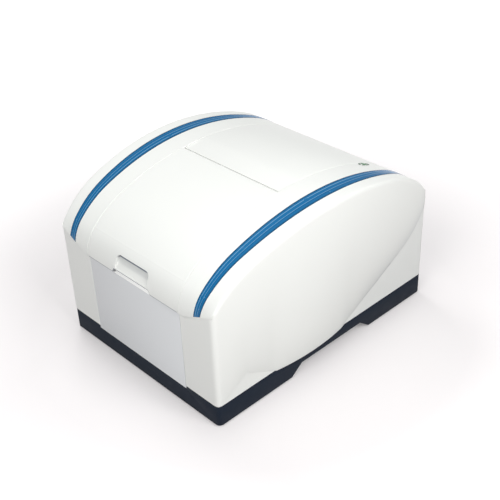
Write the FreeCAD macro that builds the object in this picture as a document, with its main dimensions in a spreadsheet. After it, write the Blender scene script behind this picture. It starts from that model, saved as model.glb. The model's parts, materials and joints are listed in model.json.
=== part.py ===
"""Bench-top Fourier transform infrared spectrometer, as a parametric document in millimetres.

Frame: X to the right seen from the front, Y to the back, Z up. The origin is on the bench under the
middle of the case. The case is an arched hood on a dark tray, with a hinged lid over the sample bay.
"""
import FreeCAD, Part
import math
import os
import re
import Sketcher
from FreeCAD import Placement, Rotation, Vector

doc = FreeCAD.newDocument("spectrometer")
sheet = doc.addObject("Spreadsheet::Sheet", "Sizes")

# Driving dimensions: alias, value in millimetres or degrees, meaning
SIZES = (
    ("body_width", 400, "width of the tray and of the flat sides"),
    ("body_depth", 530, "depth of the tray and the hood"),
    ("overall_height", 323, "bench to the top of the arch"),
    ("foot_stand", 4, "how far the feet hold the tray off the bench"),
    ("base_height", 41, "height of the dark tray"),
    ("base_wall", 4, "wall of the tray"),
    ("base_floor", 3, "floor of the tray"),
    ("corner_round", 9, "radius of the upright corners"),
    ("recess_front", 95, "hand recess, front end at the bench"),
    ("recess_back", 112, "hand recess, rear end at the bench"),
    ("recess_slope", 26, "hand recess, how far each end leans in"),
    ("recess_rise", 19, "hand recess, height"),
    ("recess_depth", 30, "hand recess, depth from the side"),
    ("shell_wall", 3, "wall of the hood mouldings"),
    ("crown_radius", 500, "radius of the crown of the arch"),
    ("crown_inset", 80, "crown of the arch, inside the ends of the hood"),
    ("shoulder_radius", 185, "radius of both shoulders of the arch"),
    ("chin_run", 18, "how far behind the front face the chin leaves the shoulder"),
    ("chin_proud", 3, "how far the chin stands in front of the front face"),
    ("chin_drop", 125, "top of the arch down to the edge of the chin"),
    ("brow_flat", 133, "half width over which the chin stays level"),
    ("side_bow", 16, "how far the side crease bows out at the middle"),
    ("belly_low", 13, "fullness of the side near its foot"),
    ("belly_high", 6, "fullness of the side near its crease"),
    ("edge_step", 1, "step where the bulged side meets the flat side"),
    ("overhang", 9, "how far the bulged side stands over the tray"),
    ("overhang_middle", -48, "middle of the overhang along Y"),
    ("overhang_half", 92, "half length of the overhang"),
    ("notch_run", 65, "tip of the front flat of the side, behind the front face"),
    ("notch_height", 37, "height of the front flat of the side"),
    ("notch_length", 130, "rear end of the front flat, behind the front face"),
    ("sweep_start", 34, "where the rear flat of the side begins"),
    ("sweep_end", 12, "depth of the bulged side left at the rear corner"),
    ("sweep_rise", 122, "rise of the rear flat along its straight run"),
    ("seam_half", 120.5, "half width of the centre panels, to the middle of the seam"),
    ("seam_gap", 1.2, "gap of the seams"),
    ("seam_flange", 14, "depth of the flange inside each seam"),
    ("stripe_inner", 163, "inner edge of the stripe at the middle"),
    ("stripe_inner_pull", 6, "how far the inner edge draws in at its ends"),
    ("stripe_width", 27, "width of the stripe at the middle"),
    ("stripe_outer_pull", 17.5, "how far the outer edge draws in at its ends"),
    ("stripe_depth", 1.2, "depth of the groove for the stripe"),
    ("stripe_proud", 0.3, "how far the stripe stands up"),
    ("stripe_share", 0.321, "share of the brow's rise that the stripe runs down"),
    ("snug", 0.1, "clearance of parts that fit together"),
    ("running", 0.05, "radial clearance of a pin that turns"),
    ("hinge_back", -42, "hinge axis along Y"),
    ("hinge_round", 6, "radius of the lid's rolled rear edge"),
    ("hinge_gap", 0.8, "gap between the rolled edge and the top cover"),
    ("pin_radius", 2.5, "radius of the hinge pins"),
    ("pin_length", 15, "length of the hinge pins"),
    ("bush_wall", 2, "wall of the hinge bushes"),
    ("scallop_drop", 2.5, "drop of the top cover behind the lid"),
    ("scallop_end", 11, "rear end of the scallop along Y"),
    ("lid_notch_half", 48, "half width of the notch in the lid's edge"),
    ("lid_notch_rise", 5, "height of the notch"),
    ("scoop_half", 42, "half width of the finger scoop"),
    ("scoop_low", 2.5, "scoop, lower edge above the notch"),
    ("scoop_tall", 33, "scoop, height"),
    ("scoop_depth", 11, "scoop, depth under its top edge"),
    ("scoop_round", 8, "scoop, corner radius"),
    ("lid_rim", 8, "depth of the stiffening rims of the lid"),
    ("liner_gap", 0.3, "gap between lid skin and liner"),
    ("liner_wall", 2, "wall of the lid liner"),
    ("seal_thick", 2.8, "thickness of the lid seal"),
    ("seal_width", 5.5, "width of the lid seal"),
    ("seal_gap", 0.3, "gap under the seal with the lid shut"),
    ("deck_wall", 2.5, "wall of the sample bay moulding"),
    ("bay_half", 108, "half width of the sample bay, outside"),
    ("bay_inset", 17, "front wall of the sample bay, behind the front face"),
    ("bay_back", -54, "rear wall of the sample bay, outside"),
    ("bay_floor", 33, "floor of the sample bay above the tray"),
    ("beam_height", 105, "beam above the tray"),
    ("bay_middle", -150, "beam of the sample bay along Y"),
    ("window_radius", 19, "radius of the bay windows"),
    ("window_thick", 4, "thickness of the bay windows"),
    ("bezel_rim", 9, "width of the window bezel"),
    ("bezel_thick", 5, "thickness of the window bezel"),
    ("bench_thick", 12, "thickness of the optical bench"),
    ("bench_inset", 40, "optical bench, inside the tray's sides"),
    ("bench_inset_end", 14, "optical bench, inside the tray's ends"),
    ("bench_drop", 2, "optical bench, below the tray's top"),
    ("rib_wall", 5, "ribs under the optical bench"),
    ("isolator_radius", 11, "radius of the bench isolators"),
    ("foot_radius", 13, "radius of the feet"),
    ("foot_inset", 38, "feet, inside the tray's sides"),
    ("foot_stem", 4, "radius of the foot's stem"),
    ("card_width", 51, "width of the sample card"),
    ("card_height", 76, "height of the sample card"),
    ("card_thick", 3, "thickness of the sample card"),
    ("card_lift", 70, "how far the card slides up"),
    ("mirror_radius", 24, "radius of the off-axis mirrors"),
    ("mirror_length", 40, "length of the off-axis mirrors"),
    ("fold_inset", 50, "mirrors beside the sample bay, inside the tray's sides"),
    ("arm_line", 120, "interferometer axis along Y"),
    ("splitter_across", 20, "beam splitter along X"),
    ("splitter_radius", 22, "radius of the beam splitter"),
    ("splitter_thick", 6, "thickness of the beam splitter"),
    ("arm_length", 62, "beam splitter to each interferometer mirror"),
    ("flat_radius", 14, "radius of the interferometer mirrors"),
    ("flat_thick", 6, "thickness of the interferometer mirrors"),
    ("scan_travel", 6, "travel of the moving mirror each way"),
    ("coil_radius", 13, "radius of the voice coil"),
    ("output_line", 36, "output beam along Y"),
    ("collimator_across", -70, "collimating mirror along X"),
    ("source_line", 206, "source axis along Y"),
    ("source_radius", 21, "radius of the source housing"),
    ("wheel_radius", 26, "radius of the aperture wheel"),
    ("wheel_line", 168, "aperture wheel along Y"),
    ("laser_across", -138, "laser tube along X"),
    ("laser_radius", 16, "radius of the laser tube"),
    ("laser_length", 205, "length of the laser tube"),
    ("laser_front", 20, "front end of the laser tube along Y"),
    ("board_thick", 1.6, "thickness of the circuit boards"),
    ("board_height", 178, "main board above the tray"),
    ("supply_width", 104, "width of the power supply"),
    ("supply_depth", 46, "depth of the power supply"),
    ("supply_height", 58, "height of the power supply"),
    ("fan_size", 60, "size of the fan frame"),
    ("fan_depth", 15, "depth of the fan frame"),
    ("fan_across", -66, "fan along X"),
    ("fan_height", 120, "fan above the tray"),
    ("inlet_across", 78, "power inlet along X"),
    ("inlet_height", 42, "power inlet above the tray"),
    ("inlet_width", 48, "width of the power inlet"),
    ("inlet_tall", 58, "height of the power inlet"),
    ("port_across", 10, "data port along X"),
    ("purge_across", -100, "purge fitting along X"),
    ("tube_radius", 3, "radius of the purge tube that pushes in"),
    ("tube_depth", 12, "how deep the purge tube goes in"),
    ("port_stand", 3, "how far the purge port stands out of the rear panel"),
    ("screw_radius", 1.6, "radius of the panel screws"),
    ("latch_width", 4.5, "width of the latch strips"),
    ("latch_length", 36, "length of the latch strips"),
    ("latch_back", 33, "latch strips, behind the front wall of the bay"),
    ("latch_thick", 1.2, "thickness of the latch plates"),
    ("magnet_thick", 1.4, "thickness of the latch magnets"),
    ("can_radius", 18, "radius of the desiccant cartridges"),
    ("can_height", 74, "height of the desiccant cartridges"),
    ("can_across", -62, "right desiccant cartridge along X"),
    ("can_pitch", 46, "distance between the desiccant cartridges"),
    ("can_back", 56, "desiccant cartridges, behind the rear wall of the bay"),
    ("board_width", 178, "width of the main board"),
    ("board_depth", 128, "depth of the main board"),
    ("post_inset", 6, "board posts, inside the board's edges"),
    ("preamp_width", 52, "width of the preamplifier board"),
    ("preamp_height", 110, "height of the preamplifier board"),
    ("lens_across", 128, "status lens along X"),
    ("lens_back", 169, "status lens along Y"),
    ("lens_radius", 5, "radius of the status lens"),
)


def enter_sizes():
    """Write each driving dimension into the sheet as plain text with its alias."""
    for row, (alias, value, meaning) in enumerate(SIZES, start=1):
        sheet.set(f"A{row}", alias)
        sheet.set(f"B{row}", str(value))
        sheet.setAlias(f"B{row}", alias)
        sheet.set(f"C{row}", meaning)
    doc.recompute()


enter_sizes()
ALIASES = {alias for alias, _, _ in SIZES}
NODES = []

# Places that follow from the driving dimensions, as expressions on the sheet
BASE_TOP = "(foot_stand + base_height)"
HALF_WIDE = "(body_width / 2)"
HALF_DEEP = "(body_depth / 2)"
BEAM = "(foot_stand + base_height + beam_height)"
BENCH_TOP = "(foot_stand + base_height - bench_drop)"
BENCH_LOW = "(foot_stand + base_height - bench_drop - bench_thick)"
CENTRE_HALF = "(seam_half - seam_gap / 2)"
LID_EDGE = "(overall_height - chin_drop)"
BAY_FRONT = "(bay_inset - body_depth / 2)"


def num(expression):
    """Value of an expression on the sheet's aliases."""
    return float(sheet.evalExpression(str(expression)))


def tied(expression):
    """The same expression as an object of the document refers to it."""
    return re.sub(r"[a-z][a-z_]*", lambda m: "Sizes." + m[0] if m[0] in ALIASES else m[0], str(expression))


def keep(item, label):
    """Give a finished sub-part its label and list it for export."""
    item.Label = label
    NODES.append(item)
    return item


# Document helpers: bodies, sketches and features


def new_body(label):
    """An empty body for one sub-part."""
    return keep(doc.addObject("PartDesign::Body", label), label)


def add_sketch(body, role, offset="0"):
    """A sketch on one of the body's own origin planes, moved along its normal."""
    sketch = body.newObject("Sketcher::SketchObject", body.Name + "_sketch")
    support = [plane for plane in body.Origin.OriginFeatures if plane.Role == role][0]
    sketch.AttachmentSupport = [(support, "")]
    sketch.MapMode = "FlatFace"
    sketch.setExpression("AttachmentOffset.Base.z", tied(offset))
    return sketch


def constrain(sketch, kind, geometry, point, expression):
    """Place a point of the sketch from its origin by an expression."""
    index = sketch.addConstraint(Sketcher.Constraint(kind, -1, 1, geometry, point, num(expression)))
    sketch.setExpression(f"Constraints[{index}]", tied(expression))


def polygon(sketch, corners):
    """A closed outline whose corners are pairs of expressions."""
    first = sketch.GeometryCount
    places = [Vector(num(x), num(y), 0) for x, y in corners]
    for start, end in zip(places, places[1:] + places[:1]):
        sketch.addGeometry(Part.LineSegment(start, end), False)
    count = len(corners)
    for side in range(count):
        joined = (side + 1) % count
        sketch.addConstraint(Sketcher.Constraint("Coincident", first + side, 2, first + joined, 1))
    for side, (x, y) in enumerate(corners):
        constrain(sketch, "DistanceX", first + side, 1, x)
        constrain(sketch, "DistanceY", first + side, 1, y)
    return sketch


def rectangle(sketch, left, low, wide, tall):
    """An upright rectangle from its lower left corner."""
    right = f"({left}) + ({wide})"
    high = f"({low}) + ({tall})"
    return polygon(sketch, [(left, low), (right, low), (right, high), (left, high)])


def circle(sketch, x, y, radius):
    """A circle with its centre and radius tied."""
    geometry = sketch.addGeometry(Part.Circle(Vector(num(x), num(y), 0), Vector(0, 0, 1), num(radius)), False)
    constrain(sketch, "DistanceX", geometry, 3, x)
    constrain(sketch, "DistanceY", geometry, 3, y)
    index = sketch.addConstraint(Sketcher.Constraint("Radius", geometry, num(radius)))
    sketch.setExpression(f"Constraints[{index}]", tied(radius))
    return sketch


def feature(body, kind, sketch, length, backwards=False):
    """A pad or pocket of the sketch by a tied length."""
    item = body.newObject("PartDesign::" + kind, body.Name + "_" + kind.lower())
    item.Profile = sketch
    item.setExpression("Length", tied(length))
    item.Reversed = backwards
    doc.recompute()
    return item


def turned(body, sketch, kind="Revolution"):
    """The sketch turned a full circle about its upright axis."""
    item = body.newObject("PartDesign::" + kind, body.Name + "_" + kind.lower())
    item.Profile = sketch
    item.ReferenceAxis = (sketch, ["V_Axis"])
    item.Angle = 360
    doc.recompute()
    return item


def polar(body, source, role, count):
    """Copies of a feature about one of the body's own axes."""
    item = body.newObject("PartDesign::PolarPattern", body.Name + "_polar")
    item.Originals = [source]
    item.Axis = ([axis for axis in body.Origin.OriginFeatures if axis.Role == role][0], [""])
    item.Angle = 360
    item.Occurrences = count
    body.Tip = item
    doc.recompute()
    return item


def row_of(body, source, role, pitch, count):
    """Copies of a feature in a row along one of the body's own axes."""
    item = body.newObject("PartDesign::LinearPattern", body.Name + "_row")
    item.Originals = [source]
    item.Direction = ([axis for axis in body.Origin.OriginFeatures if axis.Role == role][0], [""])
    item.setExpression("Length", tied(f"({pitch}) * {count - 1}"))
    item.Occurrences = count
    body.Tip = item
    doc.recompute()
    return item


def place(item, x, y, z, turn=None):
    """Move a finished sub-part to its place, turned first where a rotation is given."""
    if turn is not None:
        item.Placement = Placement(Vector(0, 0, 0), turn)
    for axis, expression in zip("xyz", (x, y, z)):
        item.setExpression("Placement.Base." + axis, tied(expression))
    return item


def solid(label, shape):
    """A sub-part whose form is worked out in code."""
    item = doc.addObject("Part::Feature", label)
    item.Shape = shape
    return keep(item, label)


def part_box(x, y, z, wide, deep, tall):
    """A block between x and x + wide and so on, with plain numbers."""
    return Part.makeBox(wide, deep, tall, Vector(x, y, z))


def rod(radius, length, start, direction):
    """A round bar."""
    return Part.makeCylinder(radius, length, start, direction)


# The hood: an arched skin and bowed sides, each with an offset so that walls and fits follow it

WIDE = num(HALF_WIDE)
DEEP = num(HALF_DEEP)
TOP = num("overall_height")
SEAT = num(BASE_TOP)
WALL = num("shell_wall")
CHIN = num(LID_EDGE)
CENTRE = num(CENTRE_HALF)
FLANGE_SIDE = num("seam_half + seam_gap / 2")
CROWN = num("crown_radius")
SHOULDER = num("shoulder_radius")
LEAN = num("(body_depth / 2 - crown_inset) / crown_radius")
UPRIGHT = math.sqrt(1 - LEAN * LEAN)
SHOULDER_Y = (CROWN - SHOULDER) * LEAN
SHOULDER_Z = TOP - CROWN + (CROWN - SHOULDER) * UPRIGHT
SOFT_STEP = 0.05
ABOVE = 40


def arch_height(y, grow=0.0):
    """Height of the arched skin at y, moved outwards by grow."""
    reach = abs(y)
    if reach <= (CROWN + grow) * LEAN:
        return TOP - CROWN + math.sqrt((CROWN + grow) ** 2 - reach ** 2)
    return SHOULDER_Z + math.sqrt((SHOULDER + grow) ** 2 - (reach - SHOULDER_Y) ** 2)


def chin_fall(x):
    """Share of the way from the level chin to the corner, 0 at the middle and 1 at the side."""
    level = num("brow_flat")
    return min(max((abs(x) - level) / (WIDE - level), 0.0), 1.0)


def arc(centre, start, end):
    """A circular edge about a centre, from start to end."""
    middle = (start + end) * 0.5 - centre
    radius = (start - centre).Length
    return Part.Arc(start, centre + middle.normalize() * radius, end).toShape()


def skin_wire(x, grow, low):
    """Closed outline of the arch at x, seen from the side, moved outwards by grow."""
    fall = chin_fall(x)
    proud = num("chin_proud") * (1 - fall) + SOFT_STEP
    chin_z = CHIN * (1 - fall) + arch_height(DEEP + SOFT_STEP) * fall
    crown = Vector(x, 0, TOP - CROWN)
    front = Vector(x, -SHOULDER_Y, SHOULDER_Z)
    rear = Vector(x, SHOULDER_Y, SHOULDER_Z)
    lean_front = Vector(0, -LEAN, UPRIGHT)
    lean_rear = Vector(0, LEAN, UPRIGHT)
    start_y = SHOULDER_Y - DEEP + num("chin_run")
    outward = Vector(0, start_y, math.sqrt(SHOULDER ** 2 - start_y ** 2)).normalize()
    chin_top = front + outward * SHOULDER
    chin_foot = Vector(x, -DEEP - proud, chin_z)
    chord = chin_foot - chin_top
    radius = -chord.dot(chord) / (2 * chord.dot(outward))
    chin = chin_top - outward * radius
    foot = chin + (chin_foot - chin).normalize() * (radius + grow)
    under = Vector(x, -DEEP - grow, min(chin_z - proud, foot.z - SOFT_STEP))
    rear_end = Vector(x, DEEP + grow, arch_height(DEEP + grow, grow))
    crown_front = crown + lean_front * (CROWN + grow)
    crown_rear = crown + lean_rear * (CROWN + grow)
    edges = [
        Part.makeLine(Vector(x, -DEEP - grow, low), under),
        Part.makeLine(under, foot),
        arc(chin, foot, front + outward * (SHOULDER + grow)),
        arc(front, front + outward * (SHOULDER + grow), crown_front),
        arc(crown, crown_front, crown_rear),
        arc(rear, crown_rear, rear_end),
        Part.makeLine(rear_end, Vector(x, DEEP + grow, low)),
        Part.makeLine(Vector(x, DEEP + grow, low), Vector(x, -DEEP - grow, low)),
    ]
    return Part.Wire(edges)


def centre_block(grow, half, low=None):
    """The solid under the arched skin across the middle, moved outwards by grow."""
    bottom = SEAT if low is None else low
    wire = skin_wire(-half, grow, bottom)
    return Part.Face(wire).extrude(Vector(2 * half, 0, 0))


def arch_layer(outer, inner, half, y_low, y_high, z_low):
    """A layer between two offsets of the skin, cut to a box."""
    layer = centre_block(outer, half).cut(centre_block(inner, half + 1))
    return layer.common(part_box(-half, y_low, z_low, 2 * half, y_high - y_low, TOP + ABOVE - z_low))


def arch_loft(grow):
    """The solid under the skin of the right half, with the chin rising to the corner."""
    stations = (0.0, num("brow_flat"), WIDE, WIDE + ABOVE)
    wires = [skin_wire(x, grow, SEAT - ABOVE) for x in stations]
    return Part.makeLoft(wires, True, True)


def bow_out(y):
    """How far the side crease stands out from the flat side at y."""
    return num("side_bow") * (1 - min(abs(y) / DEEP, 1.0) ** 2)


def side_foot(y):
    """Height of the foot of the bulged side at y, and how far it stands out there."""
    middle = (y - num("overhang_middle")) / num("overhang_half")
    out = num("edge_step") + num("overhang") * max(0.0, 1 - middle * middle)
    rise = 0.0
    from_front = y + DEEP
    if from_front < num("notch_length"):
        back_share = (num("notch_length") - from_front) / num("notch_length - notch_run")
        front_share = from_front / num("notch_run")
        rise = num("notch_height") * max(0.0, min(back_share, front_share))
    if y > num("sweep_start"):
        share = min((y - num("sweep_start")) / (DEEP - num("sweep_start")), 1.0)
        full = arch_height(DEEP) - SEAT - num("sweep_end")
        rise = num("sweep_rise") * share + (full - num("sweep_rise")) * share ** 10
    return SEAT + rise, out


def side_wire(y, grow):
    """Closed outline at y of the solid inside the right side, moved outwards by grow."""
    foot_z, foot_out = side_foot(y)
    crease_z = arch_height(min(max(y, -DEEP), DEEP))
    bow = bow_out(y)
    fullness = bow / num("side_bow")
    tall = crease_z - foot_z
    flat = WIDE + grow
    low = SEAT - ABOVE / 2
    foot_lift = foot_z - grow
    foot = Vector(flat + foot_out, y, foot_lift)
    crease = Vector(flat + max(bow, foot_out * 0.5), y, crease_z)
    poles = [
        foot,
        foot + Vector(num("belly_low") * fullness, 0, 0.16 * tall),
        crease + Vector(num("belly_high") * fullness, 0, -0.36 * tall),
        crease,
    ]
    curve = Part.BezierCurve()
    curve.setPoles(poles)
    leaving = (poles[3] - poles[2]).normalize()
    above = crease + leaving * ABOVE
    corners = [Vector(-ABOVE, y, low), Vector(flat, y, low), Vector(flat, y, foot_lift), foot]
    edges = [Part.makeLine(start, end) for start, end in zip(corners, corners[1:])]
    edges.append(curve.toShape())
    edges.append(Part.makeLine(crease, above))
    edges.append(Part.makeLine(above, Vector(-ABOVE, y, above.z)))
    edges.append(Part.makeLine(Vector(-ABOVE, y, above.z), corners[0]))
    return Part.Wire(edges)


def side_stations():
    """Stations along Y that follow the folds of the side."""
    run = num("notch_run")
    back = num("notch_length")
    front = [-ABOVE / 4, 0, run * 0.215, run * 0.5, run, run + (back - run) * 0.46, back]
    centre = num("overhang_middle")
    half = num("overhang_half") / 2
    start = num("sweep_start")
    sweep = DEEP - start
    rear = [start + sweep * share for share in (0.24, 0.46, 0.65, 0.8, 0.91, 0.965, 1)]
    middle = [centre - half, centre, centre + half, start]
    return [step - DEEP for step in front] + middle + rear + [DEEP + ABOVE / 4]


def side_loft(grow):
    """The solid inside the right side."""
    wires = [side_wire(y, grow) for y in side_stations()]
    return Part.makeLoft(wires, True, True)


def corner_block(grow):
    """Upright block whose plan rounds the corners of the hood and clears its bowed sides."""
    radius = num("corner_round") + grow
    near = WIDE - num("corner_round")
    flare = Vector(math.sin(math.radians(30)), math.cos(math.radians(30)), 0)
    edges = []
    ends = []
    for side in (-1, 1):
        centre = Vector(near, side * (DEEP - num("corner_round")), SEAT - ABOVE)
        touch = Vector(math.cos(math.radians(30)), side * math.sin(math.radians(30)), 0)
        on_front = centre + Vector(0, side * radius, 0)
        on_side = centre + touch * radius
        out = on_side + Vector(flare.x, -side * flare.y, 0) * 90
        ends.append((on_front, on_side, out, centre))
    (front_a, front_b, front_out, front_centre), (rear_a, rear_b, rear_out, rear_centre) = ends
    brow = Vector(front_a.x, front_a.y - ABOVE, front_a.z)
    start = Vector(-ABOVE, brow.y, brow.z)
    finish = Vector(-ABOVE, rear_a.y, rear_a.z)
    edges.append(Part.makeLine(start, brow))
    edges.append(Part.makeLine(brow, front_a))
    edges.append(arc(front_centre, front_a, front_b))
    edges.append(Part.makeLine(front_b, front_out))
    edges.append(Part.makeLine(front_out, rear_out))
    edges.append(Part.makeLine(rear_out, rear_b))
    edges.append(arc(rear_centre, rear_b, rear_a))
    edges.append(Part.makeLine(rear_a, finish))
    edges.append(Part.makeLine(finish, start))
    return Part.Face(Part.Wire(edges)).extrude(Vector(0, 0, TOP + 3 * ABOVE))


def hood(grow):
    """The right half of the hood as one solid, moved outwards by grow."""
    return arch_loft(grow).common(side_loft(grow)).common(corner_block(grow))


def stripe_block(grow):
    """Upright block over the plan of the right stripe, widened by grow."""
    inner = num("stripe_inner") - grow
    outer = num("stripe_inner + stripe_width") + grow
    inner_end = inner - num("stripe_inner_pull")
    outer_end = outer - num("stripe_outer_pull")
    arch_end = arch_height(DEEP)
    low = arch_end - (arch_end - CHIN) * num("stripe_share") - grow
    corners = [Vector(inner_end, -DEEP, low), Vector(outer_end, -DEEP, low)]
    corners += [Vector(outer_end, DEEP, low), Vector(inner_end, DEEP, low)]
    edges = [
        Part.makeLine(corners[0], corners[1]),
        Part.Arc(corners[1], Vector(outer, 0, low), corners[2]).toShape(),
        Part.makeLine(corners[2], corners[3]),
        Part.Arc(corners[3], Vector(inner, 0, low), corners[0]).toShape(),
    ]
    return Part.Face(Part.Wire(edges)).extrude(Vector(0, 0, TOP))


def hinge_height():
    """Height of the hinge axis, so that the rolled edge is tangent to the skin."""
    return arch_height(num("hinge_back")) - num("hinge_round")


HINGE = Vector(0, num("hinge_back"), hinge_height())


def bare_cheek():
    """Right side moulding with the stripe groove, the seam flange and the hinge hole."""
    reach = WIDE + ABOVE
    side = part_box(FLANGE_SIDE, -DEEP - ABOVE, SEAT, reach, 2 * (DEEP + ABOVE), TOP)
    hollow = part_box(FLANGE_SIDE + WALL, -DEEP, SEAT - 1, reach, 2 * DEEP, TOP)
    shell = hood(0).common(side).cut(hood(-WALL).common(hollow))
    edge = WALL + 8
    slab = part_box(FLANGE_SIDE - 1, -DEEP + edge, SEAT - 1, WALL + 2, 2 * (DEEP - edge), TOP)
    shell = shell.cut(centre_block(-num("seam_flange"), reach, SEAT - 1).common(slab))
    shell = shell.cut(stripe_block(num("snug")).cut(hood(-num("stripe_depth") - num("snug"))))
    bush_radius = num("pin_radius + running + bush_wall")
    start = HINGE + Vector(FLANGE_SIDE - 1, 0, 0)
    shell = shell.cut(rod(bush_radius + num("snug"), 2 * WALL + 1.2, start, Vector(1, 0, 0)))
    return shell.fuse(bush_boss(bush_radius))


def make_cheeks():
    """Right and left side mouldings and the stripes in their grooves."""
    cheek = bare_cheek()
    stripe = stripe_block(0).common(hood(num("stripe_proud"))).cut(hood(-num("stripe_depth")))
    lens = lens_frame()
    axis = lens.Rotation.multVec(Vector(0, 0, 1))
    hole = rod(num("lens_radius + snug"), WALL * 4, lens.multVec(Vector(0, 0, -2 * WALL)), axis)
    solid("right_cheek", cheek.cut(hole))
    solid("right_stripe", stripe)
    mirror_plane = (Vector(0, 0, 0), Vector(1, 0, 0))
    solid("left_cheek", cheek.mirror(*mirror_plane))
    solid("left_stripe", stripe.mirror(*mirror_plane))


def bush_boss(bush_radius):
    """Ring on the flange that backs the hinge bush."""
    across = Vector(1, 0, 0)
    start = HINGE + Vector(FLANGE_SIDE + WALL, 0, 0)
    ring = rod(bush_radius + WALL, WALL, start, across)
    ring = ring.common(centre_block(-WALL - num("snug"), WIDE + ABOVE))
    return ring.cut(rod(bush_radius + num("snug"), 2 * WALL, start, across))


def lens_frame():
    """Place of the status lens on the skin, with its axis along the skin's normal."""
    y = num("lens_back")
    z = arch_height(y)
    normal = Vector(0, y, z - (TOP - CROWN)).normalize()
    return Placement(Vector(num("lens_across"), y, z), Rotation(Vector(0, 0, 1), normal))


# The lid and its hinge


def lid_box(y_low, y_high, z_low, half):
    """Block across the middle used to cut the lid's layers to length."""
    return part_box(-half, y_low, z_low, 2 * half, y_high - y_low, TOP + ABOVE - z_low)


def scoop_prism(grow):
    """Rounded block that looks into the chin, with a floor that slopes out to its lower edge."""
    half = num("scoop_half") + grow
    low = CHIN + num("lid_notch_rise + scoop_low") - grow
    tall = num("scoop_tall") + 2 * grow
    start = -DEEP - num("chin_proud") - ABOVE
    block = part_box(-half, start, low, 2 * half, ABOVE * 2, tall)
    tops = [edge for edge in block.Edges if edge.BoundBox.ZMin > low + 1 and edge.BoundBox.YLength > ABOVE]
    block = block.makeFillet(num("scoop_round") + grow, tops)
    lip = -DEEP - num("chin_proud") + 1.0 + grow
    back = -DEEP - num("chin_proud") + num("scoop_depth") + 9 + grow
    high = low + tall
    floor = [Vector(-half, start, low), Vector(-half, lip, low), Vector(-half, back, high), Vector(-half, start, high)]
    wedge = Part.Face(Part.makePolygon(floor + floor[:1])).extrude(Vector(2 * half, 0, 0))
    return block.common(wedge)


def make_lid():
    """Lid skin with its rolled rear edge, rims, finger scoop and edge notch."""
    front = -DEEP - ABOVE
    back = num("hinge_back")
    skin = arch_layer(0, -WALL, CENTRE, front, back, CHIN)
    rims = centre_block(-WALL, CENTRE).cut(centre_block(-num("lid_rim"), CENTRE + 1))
    rims = rims.common(lid_box(front, back, CHIN, CENTRE))
    rims = rims.cut(lid_box(front, back, SEAT, CENTRE - WALL))
    rolled = rod(num("hinge_round"), 2 * CENTRE, HINGE + Vector(-CENTRE, 0, 0), Vector(1, 0, 0))
    lid = skin.fuse([rims, rolled])
    cup = scoop_prism(WALL * 0.8).common(centre_block(-SOFT_STEP, CENTRE))
    lid = lid.fuse(cup).cut(scoop_prism(0))
    notch_half = num("lid_notch_half")
    rise = num("lid_notch_rise")
    notch = [
        Vector(-notch_half - rise * 0.4, front, CHIN - 1),
        Vector(notch_half + rise * 0.4, front, CHIN - 1),
        Vector(notch_half - rise * 0.4, front, CHIN + rise),
        Vector(-notch_half + rise * 0.4, front, CHIN + rise),
    ]
    gap = Part.Face(Part.makePolygon(notch + notch[:1])).extrude(Vector(0, ABOVE * 2, 0))
    lid = lid.cut(gap)
    hole = num("pin_radius + snug / 5")
    for end in (-1, 1):
        start = HINGE + Vector(end * (CENTRE - num("pin_length / 2")), 0, 0)
        lid = lid.cut(rod(hole, num("pin_length"), start, Vector(end, 0, 0)))
    solid("sample_lid", lid.removeSplitter())


def make_lid_liner():
    """Inner liner of the lid, a plain curved sheet inside the rims."""
    outer = -WALL - num("liner_gap")
    inner = outer - num("liner_wall")
    half = CENTRE - WALL - num("liner_gap")
    back = num("hinge_back - hinge_round") - 2
    front = num(BAY_FRONT) - 2
    liner = arch_layer(outer, inner, half, front, back, CHIN)
    cup = scoop_prism(WALL * 0.8 + num("liner_gap"))
    solid("lid_liner", liner.cut(cup))


def seal_level():
    """Offset of the underside of the lid seal from the skin."""
    return -WALL - num("liner_gap + liner_wall + snug + seal_thick")


def deck_level():
    """Offset of the upper face of the sample bay's deck from the skin."""
    return seal_level() - num("seal_gap")


def make_lid_seal():
    """Foam seal that follows the rim of the sample bay, under the liner."""
    high = seal_level() + num("seal_thick")
    width = num("seal_width")
    half = num("bay_half + seal_width / 2")
    front = num(BAY_FRONT)
    back = num("bay_back")
    seal = arch_layer(high, seal_level(), half, front, back, CHIN)
    hole = part_box(width - half, front + width, CHIN - 1, 2 * (half - width), back - front - 2 * width, TOP)
    cup = scoop_prism(WALL * 0.8 + num("liner_gap"))
    solid("lid_seal", seal.cut(hole).cut(cup))


def make_hinge():
    """Hinge pins in the rolled edge and the bushes they turn in."""
    across = Vector(1, 0, 0)
    length = num("pin_length")
    pins = []
    bushes = []
    bore = num("pin_radius + running")
    outside = bore + num("bush_wall")
    for end in (-1, 1):
        start = HINGE + Vector(end * (CENTRE - length / 2 + num("snug")), 0, 0)
        pins.append(rod(num("pin_radius"), length, start, across * end))
        seat = HINGE + Vector(end * FLANGE_SIDE, 0, 0)
        bush = rod(outside, 2 * WALL, seat, across * end)
        bushes.append(bush.cut(rod(bore, 2 * WALL, seat, across * end)))
    solid("hinge_pins", Part.makeCompound(pins))
    solid("hinge_bushes", Part.makeCompound(bushes))


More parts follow.
